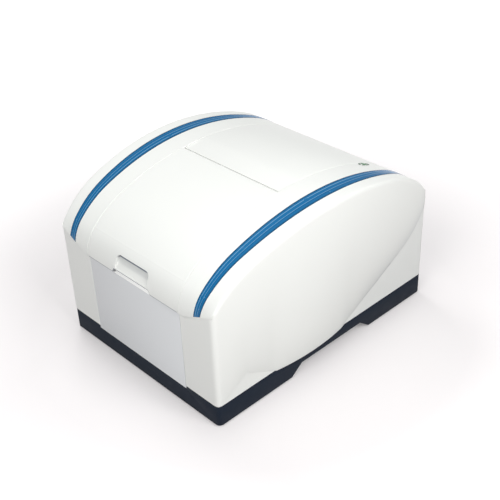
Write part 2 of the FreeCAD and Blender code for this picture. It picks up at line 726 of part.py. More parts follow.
def make_top_cover():
    """Rear centre cover with the scallop behind the lid and a gutter under the hinge."""
    front = num("hinge_back + hinge_round + hinge_gap")
    cover = arch_layer(0, -WALL, CENTRE, front, DEEP + 1, arch_height(DEEP) - 4)
    rims = centre_block(-WALL, CENTRE).cut(centre_block(-num("lid_rim"), CENTRE + 1))
    rims = rims.common(lid_box(front, DEEP, arch_height(DEEP) - 4, CENTRE))
    rims = rims.cut(lid_box(front, DEEP, SEAT, CENTRE - WALL))
    gutter_low = HINGE.z - num("hinge_round") - 2 * WALL
    wall_top = arch_height(front) - num("scallop_drop") - 0.5
    gutter = part_box(-CENTRE, front, gutter_low, 2 * CENTRE, WALL, wall_top - gutter_low)
    shelf_front = num("bay_back + snug")
    shelf = part_box(-CENTRE, shelf_front, gutter_low, 2 * CENTRE, front - shelf_front + WALL, WALL)
    cover = cover.fuse([rims, gutter, shelf])
    start = Vector(-CENTRE - 1, front - 1, arch_height(front) - num("scallop_drop"))
    finish = Vector(-CENTRE - 1, num("scallop_end"), arch_height(num("scallop_end")) + 0.02)
    middle = (start + finish) * 0.5 - Vector(0, 0, num("scallop_drop") * 0.35)
    rise = Vector(0, 0, ABOVE)
    dish = Part.Wire([
        Part.Arc(start, middle, finish).toShape(),
        Part.makeLine(finish, finish + rise),
        Part.makeLine(finish + rise, start + rise),
        Part.makeLine(start + rise, start),
    ])
    backing = Part.Face(dish).extrude(Vector(2 * CENTRE + 2, 0, 0))
    under = backing.copy()
    under.translate(Vector(0, 0, -WALL))
    floor = under.cut(backing).common(centre_block(-SOFT_STEP, CENTRE))
    floor = floor.common(lid_box(front, num("scallop_end"), SEAT, CENTRE))
    cover = cover.fuse(floor).cut(backing)
    solid("top_cover", cover.removeSplitter())


# The sample bay


def make_compartment_tub():
    """Sample bay: walls down to the optical bench, a floor, and a deck that follows the lid."""
    wall = num("deck_wall")
    half = num("bay_half")
    front = num(BAY_FRONT)
    back = num("bay_back")
    low = num(BENCH_TOP)
    level = deck_level()
    deck = centre_block(level, FLANGE_SIDE - num("seam_gap") - num("snug"), low)
    deck = deck.cut(centre_block(level - wall, WIDE, low - 1))
    reach = FLANGE_SIDE + ABOVE
    front_edge = front - 2 * wall
    deck = deck.common(part_box(-reach, front_edge, CHIN, 2 * reach, back + wall - front_edge, TOP))
    walls = centre_block(level, half, low)
    walls = walls.common(part_box(-half, front, low, 2 * half, back - front, TOP))
    inside = 2 * (half - wall)
    floor = num(BASE_TOP + " + bay_floor")
    depth = back - front - 2 * wall
    tub = deck.fuse(walls)
    tub = tub.cut(part_box(wall - half, front + wall, floor, inside, depth, TOP))
    tub = tub.cut(part_box(wall - half, front + wall, low - 1, inside, depth, floor - wall - low + 1))
    eye = Vector(-WIDE, num("bay_middle"), num(BEAM))
    tub = tub.cut(rod(num("window_radius"), 2 * WIDE, eye, Vector(1, 0, 0)))
    solid("compartment_tub", tub.removeSplitter())


def make_windows():
    """Window and bezel on each side wall of the sample bay."""
    outer = "(window_radius + bezel_rim)"
    clamp = "(window_radius - 3)"
    for side, name in ((-1, "left"), (1, "right")):
        wall_face = f"{side} * (bay_half - deck_wall)"
        bezel = new_body("window_bezel_" + name)
        ring = add_sketch(bezel, "XZ_Plane")
        polygon(ring, [
            (clamp, 0),
            (outer, 0),
            (outer, "bezel_thick - 1.5"),
            (outer + " - 1.5", "bezel_thick"),
            (clamp + " + 1.5", "bezel_thick"),
            (clamp, "bezel_thick - 1.5"),
        ])
        turned(bezel, ring)
        place(bezel, wall_face, "bay_middle", BEAM, Rotation(Vector(0, 0, 1), Vector(-side, 0, 0)))
        window = new_body("window_" + name)
        disc = add_sketch(window, "XY_Plane")
        circle(disc, 0, 0, "window_radius - snug")
        feature(window, "Pad", disc, "window_thick")
        place(window, wall_face, "bay_middle", BEAM, Rotation(Vector(0, 0, 1), Vector(side, 0, 0)))


def make_sample_holder():
    """Card holder across the beam, with two grooved posts, and the card that slides up out of it."""
    floor = BASE_TOP + " + bay_floor"
    groove = "(card_thick + 4 * snug)"
    half = "(card_width / 2 + 8)"
    holder = new_body("sample_holder")
    foot = add_sketch(holder, "XY_Plane")
    rectangle(foot, "-22", "0 - " + half, 44, "2 * " + half)
    feature(holder, "Pad", foot, 6)
    posts = add_sketch(holder, "XY_Plane", "6")
    rectangle(posts, -6, "0 - " + half, 12, "2 * " + half)
    feature(holder, "Pad", posts, "beam_height - bay_floor + 22")
    window = add_sketch(holder, "YZ_Plane", "-10")
    rectangle(window, "8 - card_width / 2", "beam_height - bay_floor - 24", "card_width - 16", 60)
    feature(holder, "Pocket", window, 20, True)
    slot = add_sketch(holder, "XY_Plane", "beam_height - bay_floor + 30")
    rectangle(slot, "0 - " + groove + " / 2", "0 - card_width / 2 - 2 * snug", groove, "card_width + 4 * snug")
    feature(holder, "Pocket", slot, "card_height / 2 + 30")
    place(holder, 0, "bay_middle", floor)
    card = new_body("sample_card")
    sheet_face = add_sketch(card, "YZ_Plane", "0 - card_thick / 2")
    rectangle(sheet_face, "0 - card_width / 2", "0 - card_height / 2", "card_width", "card_height")
    feature(card, "Pad", sheet_face, "card_thick")
    eye = add_sketch(card, "YZ_Plane", "0 - card_thick / 2 - 1")
    circle(eye, 0, 0, 10)
    feature(card, "Pocket", eye, "card_thick + 2", True)
    place(card, 0, "bay_middle", BEAM)


# Tray, feet and optical bench


def make_base_tray():
    """Dark tray with rounded corners, hand recesses in both sides and a seat for the front panel."""
    tray = new_body("base_tray")
    outline = add_sketch(tray, "XY_Plane", "foot_stand")
    rectangle(outline, "0 - body_width / 2", "0 - body_depth / 2", "body_width", "body_depth")
    pad = feature(tray, "Pad", outline, "base_height")
    uprights = []
    for index, edge in enumerate(pad.Shape.Edges, start=1):
        if edge.BoundBox.ZLength > num("base_height") - 1:
            uprights.append(f"Edge{index}")
    fillet = tray.newObject("PartDesign::Fillet", "tray_corners")
    fillet.Base = (pad, uprights)
    fillet.setExpression("Radius", tied("corner_round"))
    doc.recompute()
    pocket = add_sketch(tray, "XY_Plane", BASE_TOP)
    inset = "(body_width / 2 - base_wall)"
    inset_end = "(body_depth / 2 - base_wall)"
    land = "(body_width / 2 - recess_depth - base_wall)"
    back = "(recess_back + 4)"
    fore = "(0 - recess_front - 4)"
    polygon(pocket, [
        ("0 - " + inset, "0 - " + inset_end),
        (inset, "0 - " + inset_end),
        (inset, fore),
        (land, fore),
        (land, back),
        (inset, back),
        (inset, inset_end),
        ("0 - " + inset, inset_end),
        ("0 - " + inset, back),
        ("0 - " + land, back),
        ("0 - " + land, fore),
        ("0 - " + inset, fore),
    ])
    feature(tray, "Pocket", pocket, "base_height - base_floor")
    shelf = add_sketch(tray, "XY_Plane", BASE_TOP)
    width = "(recess_depth + base_wall)"
    tall = "(recess_back + recess_front + 8)"
    rectangle(shelf, land + " - 1", fore + " - 1", width + " - base_wall + 1", tall + " + 2")
    rectangle(shelf, "base_wall - body_width / 2", fore + " - 1", width + " - base_wall + 1", tall + " + 2")
    feature(tray, "Pocket", shelf, "base_height - recess_rise - base_wall")
    for side in (-1, 1):
        grip = add_sketch(tray, "YZ_Plane", f"{side} * (body_width / 2)")
        polygon(grip, [
            ("0 - recess_front", "foot_stand - 1"),
            ("recess_back", "foot_stand - 1"),
            ("recess_back - recess_slope", "foot_stand + recess_rise"),
            ("recess_slope - recess_front", "foot_stand + recess_rise"),
        ])
        feature(tray, "Pocket", grip, "recess_depth", side < 0)
    seat = add_sketch(tray, "XZ_Plane", "body_depth / 2 - shell_wall - snug")
    rectangle(seat, "0 - seam_half - seam_gap / 2", BASE_TOP + " - 6", "2 * seam_half + seam_gap", 10)
    feature(tray, "Pocket", seat, "shell_wall + 2", True)
    holes = add_sketch(tray, "XY_Plane", "foot_stand - 1")
    for side in ("foot_inset - body_width / 2", "body_width / 2 - foot_inset"):
        for end in ("foot_inset - body_depth / 2", "body_depth / 2 - foot_inset"):
            circle(holes, side, end, "foot_stem + snug")
    feature(tray, "Pocket", holes, "base_floor + 2", True)


def make_feet():
    """Four rubber feet with stems through the tray floor."""
    for side, across in (("left", "foot_inset - body_width / 2"), ("right", "body_width / 2 - foot_inset")):
        for end, along in (("front", "foot_inset - body_depth / 2"), ("rear", "body_depth / 2 - foot_inset")):
            foot = new_body(f"foot_{end}_{side}")
            section = add_sketch(foot, "XZ_Plane")
            polygon(section, [
                (0, 0),
                ("foot_radius - 1.5", 0),
                ("foot_radius", 1.5),
                ("foot_radius - 0.5", "foot_stand"),
                ("foot_stem", "foot_stand"),
                ("foot_stem", "foot_stand + base_floor + 1"),
                (0, "foot_stand + base_floor + 1"),
            ])
            turned(foot, section)
            place(foot, across, along, 0)


def make_bench():
    """Cast optical bench with ribs underneath, on four isolators that stand on the tray floor."""
    bench = new_body("optical_bench")
    half = "(body_width / 2 - bench_inset)"
    deep = "(body_depth / 2 - bench_inset_end)"
    boss = "(2 * isolator_radius + 4)"
    plate = add_sketch(bench, "XY_Plane", BENCH_LOW)
    rectangle(plate, "0 - " + half, "0 - " + deep, "2 * " + half, "2 * " + deep)
    feature(bench, "Pad", plate, "bench_thick")
    bay_width = f"({half} - 1.5 * rib_wall)"
    bay_depth = f"((2 * {deep} - 4 * rib_wall) / 3)"
    for column in (0, 1):
        for line in (0, 1, 2):
            left = f"(rib_wall - {half}) + {column} * ({bay_width} + rib_wall)"
            low = f"(rib_wall - {deep}) + {line} * ({bay_depth} + rib_wall)"
            right = f"{left} + {bay_width}"
            high = f"{low} + {bay_depth}"
            cell = add_sketch(bench, "XY_Plane", BENCH_LOW)
            polygon(cell, [
                (f"{left} + {boss}", low),
                (f"{right} - {boss}", low),
                (f"{right} - {boss}", f"{low} + {boss}"),
                (right, f"{low} + {boss}"),
                (right, f"{high} - {boss}"),
                (f"{right} - {boss}", f"{high} - {boss}"),
                (f"{right} - {boss}", high),
                (f"{left} + {boss}", high),
                (f"{left} + {boss}", f"{high} - {boss}"),
                (left, f"{high} - {boss}"),
                (left, f"{low} + {boss}"),
                (f"{left} + {boss}", f"{low} + {boss}"),
            ])
            feature(bench, "Pocket", cell, "bench_thick - rib_wall", True)
    radius = num("isolator_radius")
    floor = num("foot_stand + base_floor")
    rise = num(BENCH_LOW) - floor
    mounts = []
    for side in (-1, 1):
        for end in (-1, 1):
            x = side * (num(half) - 2 * radius)
            y = end * (num(deep) - 2 * radius)
            barrel = rod(radius, rise, Vector(x, y, floor), Vector(0, 0, 1))
            waist = Part.makeTorus(radius + 2.5, 4, Vector(x, y, floor + rise / 2), Vector(0, 0, 1))
            mounts.append(barrel.cut(waist))
    solid("bench_isolators", Part.makeCompound(mounts))


# Front and rear panels


def make_front_panel():
    """Flat front panel between the seams, with a return flange at its top and a lip over the tray."""
    panel = new_body("front_panel")
    low = BASE_TOP + " - 5.5"
    face = add_sketch(panel, "XZ_Plane", "body_depth / 2 - shell_wall")
    rectangle(face, "0 - " + CENTRE_HALF, low, "2 * " + CENTRE_HALF, LID_EDGE + " - " + BASE_TOP + " + 4")
    feature(panel, "Pad", face, "shell_wall")
    flange = add_sketch(panel, "XZ_Plane", "body_depth / 2 - shell_wall - 7")
    rectangle(flange, "2 - " + CENTRE_HALF, LID_EDGE + " - 4.5", "2 * " + CENTRE_HALF + " - 4", 3)
    feature(panel, "Pad", flange, 7)
    for side in (0, 1):
        rib = add_sketch(panel, "XZ_Plane", "body_depth / 2 - shell_wall - 7")
        left = f"(0 - {CENTRE_HALF}) + {side} * (2 * {CENTRE_HALF} - 3)"
        rectangle(rib, left, BASE_TOP + " + 2", 3, LID_EDGE + " - " + BASE_TOP + " - 4")
        feature(panel, "Pad", rib, 7)


def rear_rise():
    """Height of the rear panel."""
    return arch_height(DEEP) - SEAT - 4 - num("seam_gap")


def screw_places():
    """Place across, height and length of each screw in the rear panel."""
    places = []
    high = f"{BASE_TOP} + {rear_rise():.4f} - 9"
    for side in (-1, 1):
        for level in (BASE_TOP + " + 9", high):
            places.append((f"{side} * ({CENTRE_HALF} - 9)", level, 9))
        for end in (-1, 1):
            spot = f"{end} * fan_size * 0.417"
            places.append((f"fan_across + {side} * fan_size * 0.417", f"{BASE_TOP} + fan_height + {spot}", 15))
    return places


def make_rear_panel():
    """Rear panel with a fan grille of slots, and holes for the inlet, the data port and the purge line."""
    panel = new_body("rear_panel")
    ahead = "0 - body_depth / 2 - 1"
    through = "shell_wall + 2"
    face = add_sketch(panel, "XZ_Plane", "0 - body_depth / 2")
    rectangle(face, "0 - " + CENTRE_HALF, BASE_TOP + " + snug", "2 * " + CENTRE_HALF, f"{rear_rise():.4f}")
    feature(panel, "Pad", face, "shell_wall")
    lowest = BASE_TOP + " + fan_height - 2 - fan_size * 3 / 8"
    for index in range(7):
        slot = add_sketch(panel, "XZ_Plane", ahead)
        level = f"{lowest} + {index} * fan_size / 8"
        rectangle(slot, "fan_across - fan_size / 2 + 6", level, "fan_size - 12", 4)
        feature(panel, "Pocket", slot, through, True)
    cuts = add_sketch(panel, "XZ_Plane", ahead)
    rectangle(cuts, "inlet_across - inlet_width / 2 + 2", BASE_TOP + " + inlet_height - inlet_tall / 2 + 2",
              "inlet_width - 4", "inlet_tall - 4")
    rectangle(cuts, "port_across - 6.2", BASE_TOP + " + inlet_height - 5.6", 12.4, 11.2)
    circle(cuts, "purge_across", BASE_TOP + " + inlet_height", "tube_radius + 1.9 + snug")
    for x, z, _ in screw_places():
        circle(cuts, x, z, "screw_radius + snug")
    feature(panel, "Pocket", cuts, through, True)


# Optics on the bench

BENCH_Z = num(BENCH_TOP)
BEAM_Z = num(BEAM)
UP = Vector(0, 0, 1)
ACROSS = Vector(1, 0, 0)
BACK = Vector(0, 1, 0)


def on_beam(x, y):
    """Point at the height of the beam."""
    return Vector(num(x), num(y), BEAM_Z)


def make_interferometer():
    """Cast block with the beam splitter, both mirrors, the mirror's bearing and its voice coil."""
    centre = on_beam("splitter_across", "arm_line")
    radius = num("splitter_radius")
    flat = num("flat_radius")
    thick = num("flat_thick")
    arm = num("arm_length")
    travel = num("scan_travel")
    coil = num("coil_radius")
    cube = radius + 8
    snug = num("snug")
    shaft = flat * 0.36
    mirror_x = centre.x + arm - thick
    bearing_x = centre.x + arm + travel + 4
    bearing_long = 22
    bobbin_x = bearing_x + bearing_long + travel + 2
    bobbin_long = 8
    pot_x = bobbin_x
    pot_long = bobbin_long + travel + 6
    base_low = Vector(centre.x - cube - 4, centre.y - cube - 2, BENCH_Z)
    base_long = pot_x + pot_long - base_low.x
    block = Part.makeBox(base_long, 2 * cube + 4, 8, base_low)
    tower = Part.makeBox(2 * cube, 2 * cube, BEAM_Z + cube - BENCH_Z, Vector(centre.x - cube, centre.y - cube, BENCH_Z))
    fixed_y = centre.y + arm - thick
    neck = rod(flat + 5, fixed_y - centre.y, centre, BACK)
    bearing = Part.makeBox(bearing_long, 2 * coil, BEAM_Z + coil - BENCH_Z,
                           Vector(bearing_x, centre.y - coil, BENCH_Z))
    block = block.fuse([tower, neck, bearing])
    block = block.cut(rod(flat - 2, 4 * cube, centre - ACROSS * 2 * cube, ACROSS).common(tower))
    block = block.cut(rod(flat - 2, cube + arm, centre - BACK * (cube + 1), BACK))
    block = block.cut(rod(shaft + num("running"), bearing_long + 2, Vector(bearing_x - 1, centre.y, BEAM_Z), ACROSS))
    facing = Vector(-1, 1, 0).normalize()
    thin = num("splitter_thick")
    disc_low = centre - facing * (thin / 2)
    splitter = rod(radius, thin, disc_low, facing)
    slot = rod(radius + snug, thin + 2 * snug, centre - facing * (thin / 2 + snug), facing)
    lift = Part.makeBox(2 * (radius + snug), thin + 2 * snug, 3 * cube)
    lift.translate(Vector(-radius - snug, -thin / 2 - snug, 0))
    lift.rotate(Vector(0, 0, 0), UP, 45)
    lift.translate(centre)
    block = block.cut(slot).cut(lift)
    solid("interferometer_block", block.removeSplitter())
    solid("beam_splitter", splitter)
    solid("fixed_mirror", rod(flat, thick, Vector(centre.x, fixed_y, BEAM_Z), BACK))
    mirror = rod(flat, thick, Vector(mirror_x, centre.y, BEAM_Z), ACROSS)
    stem = rod(shaft, bobbin_x - mirror_x - thick, Vector(mirror_x + thick, centre.y, BEAM_Z), ACROSS)
    bobbin = rod(coil - 4, bobbin_long, Vector(bobbin_x, centre.y, BEAM_Z), ACROSS)
    solid("moving_mirror", mirror.fuse([stem, bobbin]).removeSplitter())
    pot = rod(coil, pot_long, Vector(pot_x, centre.y, BEAM_Z), ACROSS)
    pot = pot.cut(rod(coil - 3.2, pot_long - 3, Vector(pot_x - 1, centre.y, BEAM_Z), ACROSS))
    post = Part.makeBox(pot_long, coil, BEAM_Z - coil + 2 - BENCH_Z - 8, Vector(pot_x, centre.y - coil / 2, BENCH_Z + 8))
    post = post.cut(rod(coil - 1, pot_long, Vector(pot_x, centre.y, BEAM_Z), ACROSS))
    solid("voice_coil", pot.fuse(post).removeSplitter())


def off_axis(centre, incoming, outgoing):
    """Cylinder whose slanted hollow face turns the beam, and the stand that carries it."""
    radius = num("mirror_radius")
    normal = (outgoing - incoming).normalize()
    long_body = rod(radius, num("mirror_length") + radius, centre - incoming * radius, incoming)
    curve = 300
    hollow = Part.makeSphere(curve, centre + normal * curve)
    mirror = long_body.cut(hollow)
    seat = centre + incoming * (radius * 0.4)
    foot = rod(radius * 0.75, 6, Vector(seat.x, seat.y, BENCH_Z), UP)
    post = rod(radius * 0.4, BEAM_Z - radius * 0.8 - BENCH_Z, Vector(seat.x, seat.y, BENCH_Z), UP)
    stand = foot.fuse(post).cut(rod(radius + num("snug"), 4 * radius, centre - incoming * radius * 2, incoming))
    return mirror, stand


def flat_fold(centre, normal):
    """Round flat mirror at the beam and the post behind it."""
    radius = num("flat_radius") + 4
    thick = num("flat_thick") * 0.7
    mirror = rod(radius, thick, centre - normal * thick, normal)
    across = normal.cross(UP)
    corner = centre - normal * (thick + 12) - across * radius
    post = Part.makeBox(2 * radius, 12, BEAM_Z + radius - BENCH_Z)
    post.rotate(Vector(0, 0, 0), UP, math.degrees(math.atan2(across.y, across.x)))
    post.translate(Vector(corner.x, corner.y, BENCH_Z))
    if post.common(mirror).Volume > 0.01:
        post = post.cut(mirror)
    return mirror, post


def make_mirrors():
    """Off-axis mirrors and flat fold mirrors with their stands."""
    side = num("body_width / 2 - fold_inset")
    output = num("output_line")
    forward = Vector(0, -1, 0)
    collimating, stand_a = off_axis(on_beam("collimator_across", "arm_line"), forward, ACROSS)
    focusing, stand_b = off_axis(on_beam(side, "bay_middle"), forward, ACROSS * -1)
    collecting, stand_c = off_axis(on_beam(-side, "bay_middle"), BACK * -1, ACROSS)
    solid("collimating_mirror", collimating)
    solid("focusing_mirror", focusing)
    solid("collecting_mirror", collecting)
    inner, post_a = flat_fold(on_beam("splitter_across", output), Vector(1, 1, 0).normalize())
    outer, post_b = flat_fold(on_beam(side, output), Vector(-1, -1, 0).normalize())
    solid("fold_mirrors", Part.makeCompound([inner, outer]))
    solid("mirror_stands", Part.makeCompound([stand_a, stand_b, stand_c, post_a, post_b]))


def make_source():
    """Finned source housing with its beam port and the glowing element inside."""
    housing = new_body("source_housing")
    section = add_sketch(housing, "XZ_Plane")
    outer = "source_radius"
    inner = "(source_radius - 8)"
    tall = "(beam_height + bench_drop + 34)"
    profile = [(inner, 5), (0, 5), (0, 0), (outer, 0), (outer, 40)]
    for fin in range(9):
        level = f"46 + {fin} * 8"
        profile += [("source_radius - 4", level), ("source_radius - 4", f"{level} + 4")]
        profile += [(outer, f"{level} + 4"), (outer, f"{level} + 8 - 2")]
    profile = profile[:-1] + [(outer, tall), (0, tall), (0, tall + " - 5"), (inner, tall + " - 5")]
    polygon(section, profile)
    turned(housing, section)
    port = add_sketch(housing, "XZ_Plane")
    circle(port, 0, "beam_height + bench_drop", 7)
    feature(housing, "Pocket", port, "source_radius + 2", True)
    place(housing, "collimator_across", "source_line", BENCH_TOP)
    element = new_body("source_element")
    stick = add_sketch(element, "XZ_Plane")
    polygon(stick, [
        (0, 5),
        (7, 5),
        (7, 12),
        (3, 12),
        (3, "beam_height + bench_drop + 12"),
        (0, "beam_height + bench_drop + 12"),
    ])
    turned(element, stick)
    place(element, "collimator_across", "source_line", BENCH_TOP)


def make_aperture_wheel():
    """Wheel of six round stops in front of the source, turned by its own motor."""
    drop = "(wheel_radius - 9)"
    wheel = new_body("aperture_wheel")
    disc = add_sketch(wheel, "XZ_Plane")
    circle(disc, 0, 0, "wheel_radius")
    feature(wheel, "Pad", disc, 2)
    for index in range(6):
        stop = add_sketch(wheel, "XZ_Plane", "-1")
        angle = index * 60
        circle(stop, f"{drop} * sin({angle})", f"{drop} * cos({angle})", f"6 - {index} * 0.7")
        feature(wheel, "Pocket", stop, 4, True)
    hub = add_sketch(wheel, "XZ_Plane", 2)
    circle(hub, 0, 0, 5)
    feature(wheel, "Pad", hub, 2)
    place(wheel, "collimator_across", "wheel_line", BEAM + " - " + drop)
    axis = Vector(num("collimator_across"), num("wheel_line") - 4 - num("snug"), BEAM_Z - num(drop))
    barrel = rod(10, 16, axis, Vector(0, -1, 0))
    plate = Part.makeBox(24, 4, axis.z - BENCH_Z + 8, Vector(axis.x - 12, axis.y - 20, BENCH_Z))
    foot = Part.makeBox(24, 12, 4, Vector(axis.x - 12, axis.y - 16, BENCH_Z))
    solid("aperture_motor", barrel.fuse([plate, foot]).removeSplitter())


def make_laser():
    """Reference laser tube and the two cradles that hold it on the bench."""
    tube = new_body("laser_tube")
    section = add_sketch(tube, "XZ_Plane")
    polygon(section, [
        (0, 0),
        (5, 0),
        (5, 4),
        ("laser_radius", 4),
        ("laser_radius", "laser_length - 6"),
        ("laser_radius - 2", "laser_length - 4"),
        (6, "laser_length - 4"),
        (6, "laser_length"),
        (0, "laser_length"),
    ])
    turned(tube, section)
    level = BENCH_TOP + " + laser_radius + 8"
    place(tube, "laser_across", "laser_front", level, Rotation(Vector(1, 0, 0), -90))
    cradles = []
    radius = num("laser_radius")
    middle = Vector(num("laser_across"), num("laser_front"), BENCH_Z + radius + 8)
    for share in (0.2, 0.8):
        y = middle.y + num("laser_length") * share
        block = Part.makeBox(2 * radius + 8, 14, radius + 8, Vector(middle.x - radius - 4, y - 7, BENCH_Z))
        cradles.append(block.cut(rod(radius + num("snug"), 20, Vector(middle.x, y - 10, middle.z), BACK)))
    solid("laser_cradles", Part.makeCompound(cradles))


def make_detector():
    """Detector head on its post, and the amplifier board behind it."""
    face = num("bay_middle") + num("mirror_radius") + 46
    x = -num("body_width / 2 - fold_inset")
    head = Part.makeBox(36, 26, 44, Vector(x - 18, face, BEAM_Z - 22))
    snout = rod(12, 12, Vector(x, face, BEAM_Z), Vector(0, -1, 0))
    snout = snout.cut(rod(9, 8, Vector(x, face - 13, BEAM_Z), BACK))
    post = Part.makeBox(16, 20, BEAM_Z - 22 - BENCH_Z, Vector(x - 8, face + 3, BENCH_Z))
    foot = Part.makeBox(22, 24, 5, Vector(x - 8, face + 1, BENCH_Z))
    solid("detector_module", head.fuse([snout, post, foot]).removeSplitter())
    thick = num("board_thick")
    board = Part.makeBox(num("preamp_width"), thick, num("preamp_height"), Vector(x - 8, face + 26, BENCH_Z))
    chip = Part.makeBox(14, 3, 14, Vector(x + 22, face + 26 + thick, BENCH_Z + 40))
    chips = [chip, chip.translated(Vector(0, 0, 28)), chip.translated(Vector(-22, 0, 10))]
    solid("preamp_board", board.fuse(chips).removeSplitter())


def make_desiccant():
    """Two desiccant cartridges that keep the optics dry, standing on the bench."""
    cans = []
    radius = num("can_radius")
    tall = num("can_height")
    for x in (num("can_across"), num("can_across - can_pitch")):
        foot = Vector(x, num("bay_back + can_back"), BENCH_Z)
        can = rod(radius, tall, foot, UP)
        cap = rod(radius * 5 / 6, radius / 3, foot + UP * tall, UP)
        grip = Part.makeBox(radius * 4 / 3, 5, 5, foot + Vector(-radius * 2 / 3, -2.5, tall + radius / 3))
        cans.append(can.fuse([cap, grip]).removeSplitter())
    solid("desiccant_cartridges", Part.makeCompound(cans))


# Electronics


def make_electronics():
    """Main board on four posts over the interferometer, and the power supply beside the inlet."""
    wide = num("board_width")
    deep = num("board_depth")
    inset = num("post_inset")
    x_low = num("splitter_across") - wide / 2 + 29
    y_low = num("arm_line") - deep / 2 + 2
    level = SEAT + num("board_height")
    thick = num("board_thick")
    board = Part.makeBox(wide, deep, thick, Vector(x_low, y_low, level))
    parts = []
    for column in range(5):
        for line in range(3):
            corner = Vector(x_low + 18 + column * 30, y_low + 20 + line * 34, level + thick)
            size = 12 + 4 * ((column + line) % 2)
            parts.append(Part.makeBox(size, size, 2.5, corner))
    parts.append(Part.makeBox(60, 8, 9, Vector(x_low + 60, y_low + deep - 12, level + thick)))
    solid("main_board", board.fuse(parts).removeSplitter())
    posts = []
    for x in (x_low + inset, x_low + wide - inset):
        for y in (y_low + inset, y_low + deep - inset):
            hexagon = [Vector(x, y, BENCH_Z) + Vector(4 * math.cos(turn), 4 * math.sin(turn), 0)
                       for turn in (math.radians(60 * step) for step in range(6))]
            face = Part.Face(Part.makePolygon(hexagon + hexagon[:1]))
            posts.append(face.extrude(Vector(0, 0, level - BENCH_Z)))
    solid("board_posts", Part.makeCompound(posts))
    supply = new_body("power_supply")
    case = add_sketch(supply, "XY_Plane")
    rectangle(case, "0 - supply_width / 2", "0 - supply_depth / 2", "supply_width", "supply_depth")
    feature(supply, "Pad", case, "supply_height")
    for index in range(8):
        vent = add_sketch(supply, "XY_Plane", "supply_height")
        rectangle(vent, f"8 - supply_width / 2 + {index} * (supply_width - 12) / 8", "6 - supply_depth / 2", 4,
                  "supply_depth - 12")
        feature(supply, "Pocket", vent, 2)
    place(supply, "inlet_across", "body_depth / 2 - bench_inset_end - supply_depth / 2 - 16", BENCH_TOP)


def make_fan():
    """Fan frame behind the grille of the rear panel, and its rotor with seven blades."""
    size = num("fan_size")
    deep = num("fan_depth")
    x = num("fan_across")
    z = SEAT + num("fan_height")
    rear = DEEP - WALL
    front = rear - deep
    hub = size * 0.18
    bore = size / 2 - 1.5
    frame = Part.makeBox(size, deep, size, Vector(x - size / 2, front, z - size / 2))
    uprights = [edge for edge in frame.Edges if edge.BoundBox.YLength > deep - 1]
    frame = frame.makeFillet(4, uprights)
    centre = Vector(x, front, z)
    frame = frame.cut(rod(bore, deep, centre, BACK))
    spider = rod(hub, 2.5, centre, BACK)
    for step in range(4):
        strut = Part.makeBox(size / 2, 2.5, 4, Vector(0, 0, -2))
        strut.rotate(Vector(0, 0, 0), BACK, 45 + 90 * step)
        strut.translate(centre)
        spider = spider.fuse(strut)
    spider = spider.common(rod(bore + 0.5, deep, centre, BACK))
    frame = frame.fuse(spider).cut(rod(1.5 + num("running"), 6, centre - BACK, BACK))
    for dx in (-1, 1):
        for dz in (-1, 1):
            spot = centre + Vector(dx * size * 0.417, -1, dz * size * 0.417)
            frame = frame.cut(rod(2.1, deep + 2, spot, BACK))
    solid("fan_frame", frame.removeSplitter())
    start = centre + BACK * 3.2
    long_hub = deep - 4.2
    rotor = rod(hub, long_hub, start, BACK).fuse(rod(1.5, 3, centre + BACK * 0.5, BACK))
    reach = bore - 1
    blades = []
    for step in range(7):
        blade = Part.makeBox(reach - hub + 2, long_hub * 0.95, 1.3, Vector(hub - 1.5, 0, -0.65))
        blade.translate(Vector(0, -long_hub * 0.475, 0))
        blade.rotate(Vector(0, 0, 0), ACROSS, 38)
        blade.rotate(Vector(0, 0, 0), BACK, 360 / 7 * step)
        blade.translate(start + BACK * (long_hub / 2))
        blades.append(blade)
    rotor = rotor.fuse(blades).common(rod(reach, deep, centre, BACK))
    solid("fan_rotor", rotor.removeSplitter())


# Connectors on the rear panel


def inlet_centre():
    """Middle of the power inlet on the rear face."""
    return Vector(num("inlet_across"), DEEP, SEAT + num("inlet_height"))


